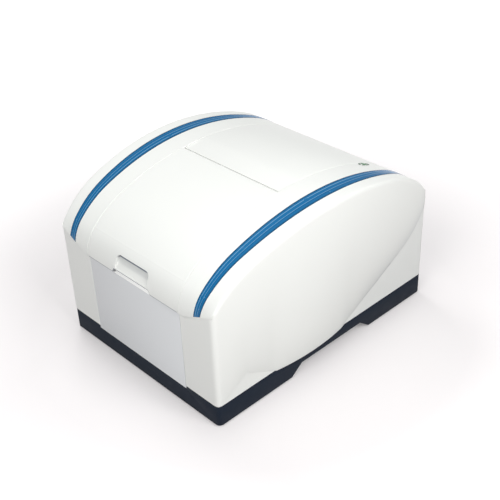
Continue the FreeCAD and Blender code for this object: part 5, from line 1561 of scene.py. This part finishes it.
@dataclass
class TopCover:
    """The rear centre cover: a rounded channel section swept along the arch, dished behind the lid."""

    form: HoodForm = field(default_factory=HoodForm)
    half: float = 119.9
    edge: float = 1.0
    flange: float = 8.0
    front: float = -35.2
    dish_end: float = 11.0
    dish_drop: float = 2.5
    rear_round: float = 2.5
    low: float = 222.0
    wall: float = 2.2
    stations: int = 171

    def build(self, name: str, material: bpy.types.Material) -> bpy.types.Object:
        """Sweep the section along the arch by its rule.

        Args:
            name: The piece's name.
            material: Its finish.

        Returns:
            The cover.
        """
        form = self.form
        back, high = form.shoulder_centre
        turn = math.asin((form.deep - self.rear_round - back) / (form.shoulder - self.rear_round))
        rule = Rule("arched_cover", steps=self.stations, crown=form.crown * MM, shoulder=form.shoulder * MM,
                    lean=form.lean, centre=(form.top - form.crown) * MM, back=back * MM, high=high * MM,
                    start=math.asin(self.front / form.crown), turn=turn, corner=self.rear_round * MM,
                    low=self.low * MM, half=self.half * MM, flange=self.flange * MM, edge=self.edge * MM,
                    dish_start=self.front * MM, dish_end=self.dish_end * MM, dish=self.dish_drop * MM)
        swept = rule.add("GeometryNodeCurveToMesh", None, Curve=self.path(rule),
                         Profile_Curve=self.section(rule))
        behind = rule.split(rule.add("GeometryNodeInputPosition"))[1]
        share = behind.share(rule["dish_start"], rule["dish_end"])
        sink = rule["dish"] * (1.0 - share) * (1.0 + share * 1.1)
        dished = rule.add("GeometryNodeSetPosition", None, Geometry=swept,
                          Offset=rule.add("ShaderNodeCombineXYZ", None, Z=-sink))
        return rule.run(name, rule.add("GeometryNodeSetShadeSmooth", None, Geometry=dished), material)

    @staticmethod
    def path(rule: Rule) -> bpy.types.Node:
        """The arch as a curve: crown, shoulder, rear corner, and straight down to the low end.

        Args:
            rule: The tree with the arch's sizes.

        Returns:
            The node that gives the curve.
        """
        line = rule.add("GeometryNodeMeshLine", None, Count=rule["steps"])
        step = rule.out(rule.add("GeometryNodeInputIndex")) / (rule["steps"] - 2.0)
        angle = rule["start"] + (math.pi / 2 - rule["start"]) * step.least(1.0)
        sine, cosine = angle.sin(), angle.cos()
        on_shoulder = sine > rule["lean"]
        on_corner = angle > rule["turn"]
        over = step > 1.0
        reach = rule["shoulder"] - rule["corner"]

        def pick(first: Wire, second: Wire, late: Wire) -> Wire:
            """The first value, or the second where late is 1."""
            return first * (1.0 - late) + second * late

        crown, shoulder = rule["crown"], rule["shoulder"]
        y = pick(crown * sine, rule["back"] + shoulder * sine, on_shoulder)
        z = pick(rule["centre"] + crown * cosine, rule["high"] + shoulder * cosine, on_shoulder)
        y = pick(y, rule["back"] + reach * rule["turn"].sin() + rule["corner"] * sine, on_corner)
        z = pick(z, rule["high"] + reach * rule["turn"].cos() + rule["corner"] * cosine, on_corner)
        spot = rule.add("ShaderNodeCombineXYZ", None, Y=y, Z=pick(z, rule["low"], over))
        return rule.add("GeometryNodeMeshToCurve", None, Mesh=rule.add(
            "GeometryNodeSetPosition", None, Geometry=line, Position=spot))

    @staticmethod
    def section(rule: Rule) -> bpy.types.Node:
        """The channel section with rounded corners.

        Args:
            rule: The tree with the section's sizes.

        Returns:
            The node that gives the curve.
        """
        line = rule.add("GeometryNodeMeshLine", None, Count=4)
        corner = rule.out(rule.add("GeometryNodeInputIndex"))
        side = (corner > 1.5) * 2.0 - 1.0
        deep = (corner - 1.5).size() > 1.0
        place = rule.add("ShaderNodeCombineXYZ", None, X=side * rule["half"], Y=deep * rule["flange"])
        curve = rule.add("GeometryNodeMeshToCurve", None, Mesh=rule.add(
            "GeometryNodeSetPosition", None, Geometry=line, Position=place))
        return rule.add("GeometryNodeFilletCurve", {"mode": "POLY"}, Curve=curve, Radius=rule["edge"],
                        Limit_Radius=True, Count=5)

    def dress(self, shop: Paintshop) -> None:
        """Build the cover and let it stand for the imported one.

        Args:
            shop: The materials.
        """
        obj = self.build("cover_skin", shop.mix(HOOD_WHITE))
        face_up(obj)
        thicken(obj, self.wall)
        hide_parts("top_cover")
        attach(obj, "case")
        LOG.info("top cover: %d faces", len(obj.data.polygons))


@dataclass
class Stripe:
    """The blue strip inlaid along a shoulder, crowned across its width."""

    form: HoodForm = field(default_factory=HoodForm)
    inner: float = 163.0
    outer: float = 190.0
    inner_end: float = 157.0
    outer_end: float = 172.5
    proud: float = 0.28
    sink: float = 1.2
    brow_gap: float = 2.2
    brow_share: float = 0.12
    middle: float = 170.0
    stations: int = 201

    def edges(self, y: Numbers) -> list[Numbers]:
        """Inner and outer edge of the strip in plan.

        Args:
            y: Places along the hood.

        Returns:
            The x of both edges.
        """
        results = []
        for middle, end in ((self.inner, self.inner_end), (self.outer, self.outer_end)):
            drop = middle - end
            radius = (self.form.deep ** 2 + drop ** 2) / (2 * drop)
            reach = np.clip(y, -self.form.deep, self.form.deep)
            results.append(middle - radius + np.sqrt(radius ** 2 - reach ** 2))
        return results

    def leans(self, x: Numbers, steps: Numbers) -> Numbers:
        """Lean of the skin's normal at each step from the brow to the rear corner.

        Args:
            x: Places across the hood.
            steps: Shares of the way, from 0 at the brow to 1.

        Returns:
            The leans.
        """
        form = self.form
        end = math.asin((form.deep - form.shoulder_centre[0]) / form.shoulder) - 0.004
        start = form.foot_angle(x) + self.brow_gap / form.chin(x)[2]
        turn = form.chin_angle()
        return np.where(steps < self.brow_share, start + (turn - start) * steps / self.brow_share,
                        turn + (end - turn) * (steps - self.brow_share) / (1.0 - self.brow_share))

    def section(self) -> list[tuple[float, float, float]]:
        """Points across the strip.

        Returns:
            The share of the way across, the shift aside and the height of each.
        """
        rim = [(0.0, -self.sink), (0.0, 0.05), (0.15, 0.22), (0.4, self.proud)]
        flat = [(n / 10, 0.4 - 0.8 * n / 10, self.proud) for n in range(1, 10)]
        return [(0.0, inset, lift) for inset, lift in rim] + flat + [
            (1.0, -inset, lift) for inset, lift in reversed(rim)]

    def grid(self) -> Numbers:
        """The strip's points, stations by points across, with a sunk cap at each end.

        Returns:
            The points.
        """
        steps = np.linspace(0.0, 1.0, self.stations)
        plain = np.full_like(steps, self.middle)
        inner, outer = self.edges(self.form.skin_point(plain, self.leans(plain, steps))[0])
        rows = []
        for share, aside, lift in self.section():
            x = inner + share * (outer - inner) + aside
            lean = self.leans(x, steps)
            y, z = self.form.skin_point(x, lean)
            rows.append(np.stack([x, y + lift * np.sin(lean), z + lift * np.cos(lean)], axis=1))
        grid = np.stack(rows, axis=1)
        raised = np.array([lift >= 0.0 for _, _, lift in self.section()])
        caps = grid[[0, -1]].copy()
        caps[:, :, 2] -= raised * self.sink
        caps[:, :, 1] += np.array([[0.3], [-0.3]]) * raised
        return np.concatenate([caps[:1], grid, caps[1:]])

    def build(self, name: str, mirrored: bool) -> bpy.types.Object:
        """The strip.

        Args:
            name: Its name.
            mirrored: True for the left side.

        Returns:
            The object, whose map "along" runs 0 to 1 across the strip.
        """
        grid = self.grid()
        rows, count = grid.shape[:2]
        points = grid.reshape(-1, 3)
        under = [(a, a + count, a + 2 * count - 1, a + count - 1)
                 for a in range(0, (rows - 1) * count, count)]
        obj = mesh_object(name, points, grid_faces(rows, count) + under)
        across = [share for share, _, _ in self.section()]
        places = {tuple(np.round(point * MM, 6)): across[i % count] for i, point in enumerate(points)}
        layer = obj.data.uv_layers.new(name="along")
        for loop in obj.data.loops:
            key = tuple(round(v, 6) for v in obj.data.vertices[loop.vertex_index].co)
            layer.data[loop.index].uv = (places.get(key, 0.5), 0.0)
        outward(obj)
        face_up(obj)
        if mirrored:
            mirror(obj)
        mark_sharp(obj, 50.0)
        return obj

    def dress(self, shop: Paintshop) -> None:
        """Build both strips and give them their gloss.

        Args:
            shop: The materials.
        """
        for side, mirrored in (("right", False), ("left", True)):
            obj = paint(self.build(side + "_shoulder_strip", mirrored), shop.mix(STRIPE_BLUE))
            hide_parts(side + "_stripe")
            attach(obj, "case")
            LOG.info("shoulder strip %s: %d faces", side, len(obj.data.polygons))


@dataclass
class NotchLedge:
    """The ledge of the front panel that shows in the lid's notch, made bright by the painted light of its
    glowing finish.
    """

    half: float = 45.4
    front: float = -267.3
    back: float = -261.2
    end: float = -257.2
    low: float = 196.2
    high: float = 203.6
    toe_deep: float = 1.6
    toe_tall: float = 1.2
    edge: float = 0.7

    def dress(self, shop: Paintshop) -> None:
        """Build the ledge as a rounded wedge and give it its finish.

        Args:
            shop: The materials.
        """
        section = [(self.front + self.toe_deep, self.low), (self.front, self.low + self.toe_tall),
                   (self.back, self.high), (self.end, self.high), (self.end, self.low)]
        count = len(section)
        points = [(x, y, z) for x in (-self.half, self.half) for y, z in section]
        faces = [tuple(reversed(range(count))), tuple(range(count, 2 * count))]
        faces += [(n, (n + 1) % count, count + (n + 1) % count, count + n) for n in range(count)]
        obj = outward(mesh_object("notch_ledge", np.array(points), faces))
        round_edges(obj, self.edge, 3)
        paint(obj, shop.mix(LEDGE_PAINTED_LIGHT))
        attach(obj, "case")
        LOG.info("notch ledge: %d faces", len(obj.data.polygons))


@dataclass
class StatusRing:
    """A broken ring of short green marks round the status lens."""

    form: HoodForm = field(default_factory=HoodForm)
    marks: int = 7
    steps: int = 5
    half_wide: float = 6.6
    half_long: float = 13.5
    band_wide: float = 2.8
    band_long: float = 4.48
    share: float = 0.68
    proud: float = 0.2
    sink: float = 0.5

    def dress(self, shop: Paintshop) -> None:
        """Lay the marks on the hood's skin.

        Args:
            shop: The materials.
        """
        low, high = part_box("status_lens")
        middle = [(low[i] + high[i]) / 2 / MM for i in range(2)]
        points: list[Point] = []
        faces: list[tuple[int, ...]] = []
        for mark in range(self.marks):
            first = len(points)
            for step in range(self.steps + 1):
                angle = 2 * math.pi * (mark + self.share * step / self.steps) / self.marks
                for inner in (0, 1):
                    x = middle[0] + (self.half_wide - inner * self.band_wide) * math.cos(angle)
                    y = middle[1] + (self.half_long - inner * self.band_long) * math.sin(angle)
                    z = float(self.form.arch_z(np.array(y)))
                    points += [(x, y, z + self.proud), (x, y, z - self.sink)]
            last = first + self.steps * 4
            for a in range(first, last, 4):
                faces += [(a, a + 2, a + 6, a + 4), (a + 1, a + 5, a + 7, a + 3), (a, a + 4, a + 5, a + 1),
                          (a + 2, a + 3, a + 7, a + 6)]
            faces += [(first, first + 1, first + 3, first + 2), (last, last + 2, last + 3, last + 1)]
        obj = outward(mesh_object("status_ring", np.array(points), faces, smooth=False))
        paint(obj, shop.mix(MARK_GREEN))
        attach(obj, "case")
        LOG.info("status ring: %d marks", self.marks)


@dataclass
class RearFittings:
    """Screw heads and grille slats of the rear panel, each set on its row of places by a node tree."""

    head: float = 3.2
    tall: float = 1.7
    recess: float = 1.1
    sides: int = 24
    slats: int = 7
    slat_wide: float = 47.4
    slat_deep: float = 2.2
    slat_thick: float = 0.6
    slat_tilt: float = 38.0
    slat_pitch: float = 8.0
    slat_y: float = 263.6

    def screw_places(self) -> list[Vector]:
        """The seat of each packed screw's head.

        Returns:
            The places, in metres.
        """
        mesh = FRAME["nodes"]["screws"].data.copy()
        places = []
        with opened(mesh, join=1e-6) as work:
            waiting = set(work.verts)
            while waiting:
                group, edge = set(), [next(iter(waiting))]
                while edge:
                    vertex = edge.pop()
                    if vertex not in group:
                        group.add(vertex)
                        edge += [link.other_vert(vertex) for link in vertex.link_edges]
                waiting -= group
                spots = np.array([v.co for v in group])
                middle = (spots.min(axis=0) + spots.max(axis=0)) / 2
                places.append(Vector((middle[0], spots[:, 1].max() - self.tall * MM, middle[2])))
        bpy.data.meshes.remove(mesh)
        return sorted(places, key=tuple)

    def screw(self) -> bpy.types.Object:
        """One pan head with a cross recess, its seat at the origin and its axis along Y.

        Returns:
            The head.
        """
        sides, tall = self.sides, self.tall
        rings = [(0.98, 0.0), (1.0, 0.5 / tall), (0.93, 0.68), (0.72, 0.92), (0.46, 1.0)]
        turns = [2 * math.pi * n / sides for n in range(sides)]
        points = [(self.head * r * math.cos(a), tall * h, self.head * r * math.sin(a))
                  for r, h in rings for a in turns]
        faces: list[tuple[int, ...]] = []
        for a in range(0, (len(rings) - 1) * sides, sides):
            faces += [(a + n, a + (n + 1) % sides, a + sides + (n + 1) % sides, a + sides + n)
                      for n in range(sides)]
        arm, slim = self.head * 0.42, self.head * 0.12
        cross = [(arm, -slim), (arm, slim), (slim, slim), (slim, arm), (-slim, arm), (-slim, slim),
                 (-arm, slim), (-arm, -slim), (-slim, -slim), (-slim, -arm), (slim, -arm), (slim, -slim)]
        count = len(cross)
        top, deep = len(points), len(points) + count
        points += [(x, tall, z) for x, z in cross]
        points += [(x * 0.6, tall - self.recess, z * 0.6) for x, z in cross]
        ring = top - sides
        for n in range(count):
            a, b, c = (ring + (2 * n + k) % sides for k in range(3))
            p, q = top + (n + 1) % count, top + (n + 2) % count
            faces += [(a, b, p), (b, c, p), (c, q, p), (top + n, p, deep + (n + 1) % count, deep + n)]
        faces += [tuple(range(deep, deep + count)), tuple(range(sides))]
        return outward(mesh_object("screw_pattern", np.array(points), faces, smooth=False))

    def slat(self) -> bpy.types.Object:
        """One tilted slat of the grille, its middle at the origin.

        Returns:
            The slat.
        """
        half, deep, thick = self.slat_wide / 2, self.slat_deep / 2, self.slat_thick / 2
        sine, cosine = math.sin(math.radians(self.slat_tilt)), math.cos(math.radians(self.slat_tilt))
        points = [(x, y * cosine - z * sine, y * sine + z * cosine) for x in (-half, half)
                  for y, z in ((-deep, -thick), (deep, -thick), (deep, thick), (-deep, thick))]
        faces = [(0, 1, 2, 3), (7, 6, 5, 4), (0, 4, 5, 1), (1, 5, 6, 2), (2, 6, 7, 3), (3, 7, 4, 0)]
        return outward(mesh_object("slat_pattern", np.array(points), faces, smooth=False))

    @staticmethod
    def spread(name: str, pattern: bpy.types.Object, places: Sequence[Vector],
               material: bpy.types.Material) -> bpy.types.Object:
        """Set a pattern on every place by a node tree.

        Args:
            name: The piece's name.
            pattern: The shape that repeats.
            places: Where it stands, in metres.
            material: Its finish.

        Returns:
            One mesh with all copies.
        """
        cloud = mesh_object(name + "_places", np.array([tuple(p) for p in places]) / MM, [])
        rule = Rule(name + "_row", size=1.0)
        spots = rule.add("GeometryNodeObjectInfo", None, Object=cloud)
        shape = rule.add("GeometryNodeObjectInfo", None, Object=pattern)
        copies = rule.add("GeometryNodeInstanceOnPoints", None, Points=rule.out(spots, "Geometry"),
                          Instance=rule.out(shape, "Geometry"), Scale=rule["size"])
        obj = rule.run(name, copies, material)
        for helper in (cloud, pattern):
            bpy.data.objects.remove(helper)
        return obj

    def dress(self, shop: Paintshop) -> None:
        """Build the screw heads and the slats.

        Args:
            shop: The materials.
        """
        places = self.screw_places()
        screws = self.spread("screw_heads", self.screw(), places, shop.mix(FINISHES["steel"]))
        mark_sharp(screws, 30.0)
        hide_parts("screws")
        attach(screws, "case")
        LOG.info("screw heads: %d on the rear panel", len(places))
        low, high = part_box("fan_frame")
        middle_x, middle_z = (low[0] + high[0]) / 2, (low[2] + high[2]) / 2
        steps = [(n - (self.slats - 1) / 2) * self.slat_pitch * MM for n in range(self.slats)]
        rows = [Vector((middle_x, self.slat_y * MM, middle_z + step)) for step in steps]
        slats = self.spread("grille_slats", self.slat(), rows, shop.mix(FINISHES["fin_alloy"]))
        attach(slats, "case")
        LOG.info("grille slats: %d", self.slats)


class Carried:
    """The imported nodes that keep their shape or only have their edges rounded."""

    SOFT: dict[str, tuple[float, float]] = {
        "base_tray": (1.2, 30.0), "front_panel": (0.8, 30.0),
        "compartment_tub": (0.5, 30.0), "sample_holder": (0.5, 30.0), "power_inlet": (0.5, 35.0),
        "data_port": (0.2, 35.0), "power_supply": (0.8, 30.0), "interferometer_block": (0.8, 35.0),
        "optical_bench": (1.0, 35.0), "main_board": (0.2, 35.0), "preamp_board": (0.15, 35.0),
    }

    def dress(self, shop: Paintshop, record: dict[str, Any]) -> None:
        """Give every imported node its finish, and some of them rounded edges.

        Args:
            shop: The materials.
            record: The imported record, with each node's material slot and body.
        """
        slots = {part["node"]: part["material_slot"] for part in record["subparts"]}
        bodies = {node: body for body, nodes in record["behaviour"]["bodies"].items() for node in nodes}
        for node, obj in FRAME["nodes"].items():
            material = shop.mix(FINISHES[slots[node]])
            paint(obj, material)
            if node in self.SOFT:
                copy = paint(softened(node, *self.SOFT[node]), material)
                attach(copy, bodies[node])
                slots[node]
                LOG.info("rounded %s: %d faces", node, len(copy.data.polygons))


# The studio


@dataclass(frozen=True)
class Lamp:
    """A square soft lamp: its place and size in metres, its power, and whether gloss shows it."""

    name: str
    spot: Point
    size: float
    power: float
    glossy: bool

    def hang(self, aim: Point) -> None:
        """Hang the lamp so that it looks at a point.

        Args:
            aim: The point, in metres.
        """
        data = bpy.data.lights.new(self.name, "AREA")
        data.size = self.size
        data.energy = self.power
        obj = linked(self.name, data)
        obj.visible_camera = False
        obj.visible_glossy = self.glossy
        turn = (Vector(aim) - Vector(self.spot)).to_track_quat("-Z", "Y").to_matrix().to_4x4()
        obj.matrix_world = Matrix.Translation(self.spot) @ turn


@dataclass
class Studio:
    """Floor, background, lamps and camera."""

    place: Point = (1.0704, -0.9820, 1.0828)
    turn: float = 47.38
    dip: float = 33.13
    roll: float = -2.40
    lens: float = 67.392
    floor_half: float = 6.0
    floor_colour: Colour = (0.70, 0.69, 0.69)
    floor_seen: Colour = (0.86, 0.845, 0.845)
    lift_colour: tuple[float, float, float, float] = (1.0, 0.985, 0.98, 1.0)
    near_lift: float = 0.21
    far_lift: float = 0.60
    lift_from: float = 0.42
    lift_to: float = 1.25
    sky_colour: tuple[float, float, float, float] = (0.94, 0.97, 1.0, 1.0)
    sky_light: float = 0.33
    aim: Point = (0.0, 0.0, 0.15)
    lamps: tuple[Lamp, ...] = (
        Lamp("key_lamp", (-1.20, 0.30, 1.75), 0.9, 14.0, glossy=False),
        Lamp("front_lamp", (0.60, -1.50, 1.45), 0.9, 15.5, glossy=True),
        Lamp("side_lamp", (1.10, -0.16, 1.00), 0.7, 9.8, glossy=True),
        Lamp("rear_lamp", (-0.30, 2.00, 0.80), 1.0, 5.5, glossy=False),
    )

    @staticmethod
    def seen(board: Board, *rays: str) -> Wire:
        """1 for rays of any of the named kinds, else 0."""
        ray = board.add("ShaderNodeLightPath")
        result = board.out(ray, "Is Camera Ray")
        for name in rays:
            result = result.most(board.out(ray, name))
        return result

    def floor(self) -> None:
        """A wide floor that shows white to the camera and keeps the object's shadow."""
        half = self.floor_half / MM
        corners = [(-half, -half, 0.0), (half, -half, 0.0), (half, half, 0.0), (-half, half, 0.0)]
        obj = mesh_object("floor", np.array(corners), [(0, 1, 2, 3)], smooth=False)
        material = bpy.data.materials.new("floor_paper")
        board = Board.cleared(material)
        x, y, _ = board.split(board.place())
        away = (x * x + y * y).root().share(self.lift_from, self.lift_to)
        plain = board.add("ShaderNodeBsdfDiffuse", None, Color=linear(self.floor_colour))
        pale = board.add("ShaderNodeBsdfDiffuse", None, Color=linear(self.floor_seen))
        lift = board.add("ShaderNodeEmission", None, Color=self.lift_colour,
                         Strength=away * self.far_lift + self.near_lift)
        both = board.add("ShaderNodeAddShader", None, in0=pale, in1=lift)
        board.end("ShaderNodeOutputMaterial", board.add(
            "ShaderNodeMixShader", None, in0=self.seen(board, "Is Glossy Ray", "Is Transmission Ray"),
            in1=plain, in2=both))
        paint(obj, material)

    def sky(self) -> None:
        """White to the eye and through glass, a plain soft light otherwise."""
        world = bpy.data.worlds.new("studio")
        bpy.context.scene.world = world
        board = Board.cleared(world)
        soft = board.add("ShaderNodeBackground", None, Color=self.sky_colour, Strength=self.sky_light)
        white = board.add("ShaderNodeBackground", None, Color=Paintshop.WHITE, Strength=1.0)
        board.end("ShaderNodeOutputWorld", board.add(
            "ShaderNodeMixShader", None, in0=self.seen(board, "Is Transmission Ray"), in1=soft, in2=white))

    def camera(self) -> None:
        """The photograph's camera."""
        turn, dip, roll = (math.radians(v) for v in (self.turn, self.dip, self.roll))
        back = Vector((math.sin(turn) * math.cos(dip), -math.cos(turn) * math.cos(dip), math.sin(dip)))
        right = (-back).cross(Vector((0, 0, 1))).normalized()
        up = right.cross(-back)
        across = right * math.cos(roll) + up * math.sin(roll)
        above = up * math.cos(roll) - right * math.sin(roll)
        data = bpy.data.cameras.new("camera")
        data.lens = self.lens
        data.sensor_width = 36.0
        data.sensor_fit = "HORIZONTAL"
        obj = linked("camera", data)
        basis = Matrix((across, above, back)).transposed().to_4x4()
        obj.matrix_world = Matrix.Translation(self.place) @ basis
        bpy.context.scene.camera = obj

    def dress(self) -> None:
        """Build the whole studio."""
        bpy.context.scene.view_settings.view_transform = "Standard"
        self.floor()
        self.sky()
        for lamp in self.lamps:
            lamp.hang(self.aim)
        self.camera()
        LOG.info("studio: %d lamps", len(self.lamps))


FRAME: dict[str, Any] = {}


def main() -> None:
    """Build the scene."""
    logging.basicConfig(level=logging.INFO, format="%(message)s")
    FRAME.update(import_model())
    shop = Paintshop()
    Studio().dress()
    Carried().dress(shop, FRAME["record"])
    for piece in (Cheek(), Lid(), TopCover(), Stripe(), NotchLedge(), StatusRing(), RearFittings()):
        piece.dress(shop)


if __name__ == "__main__":
    main()
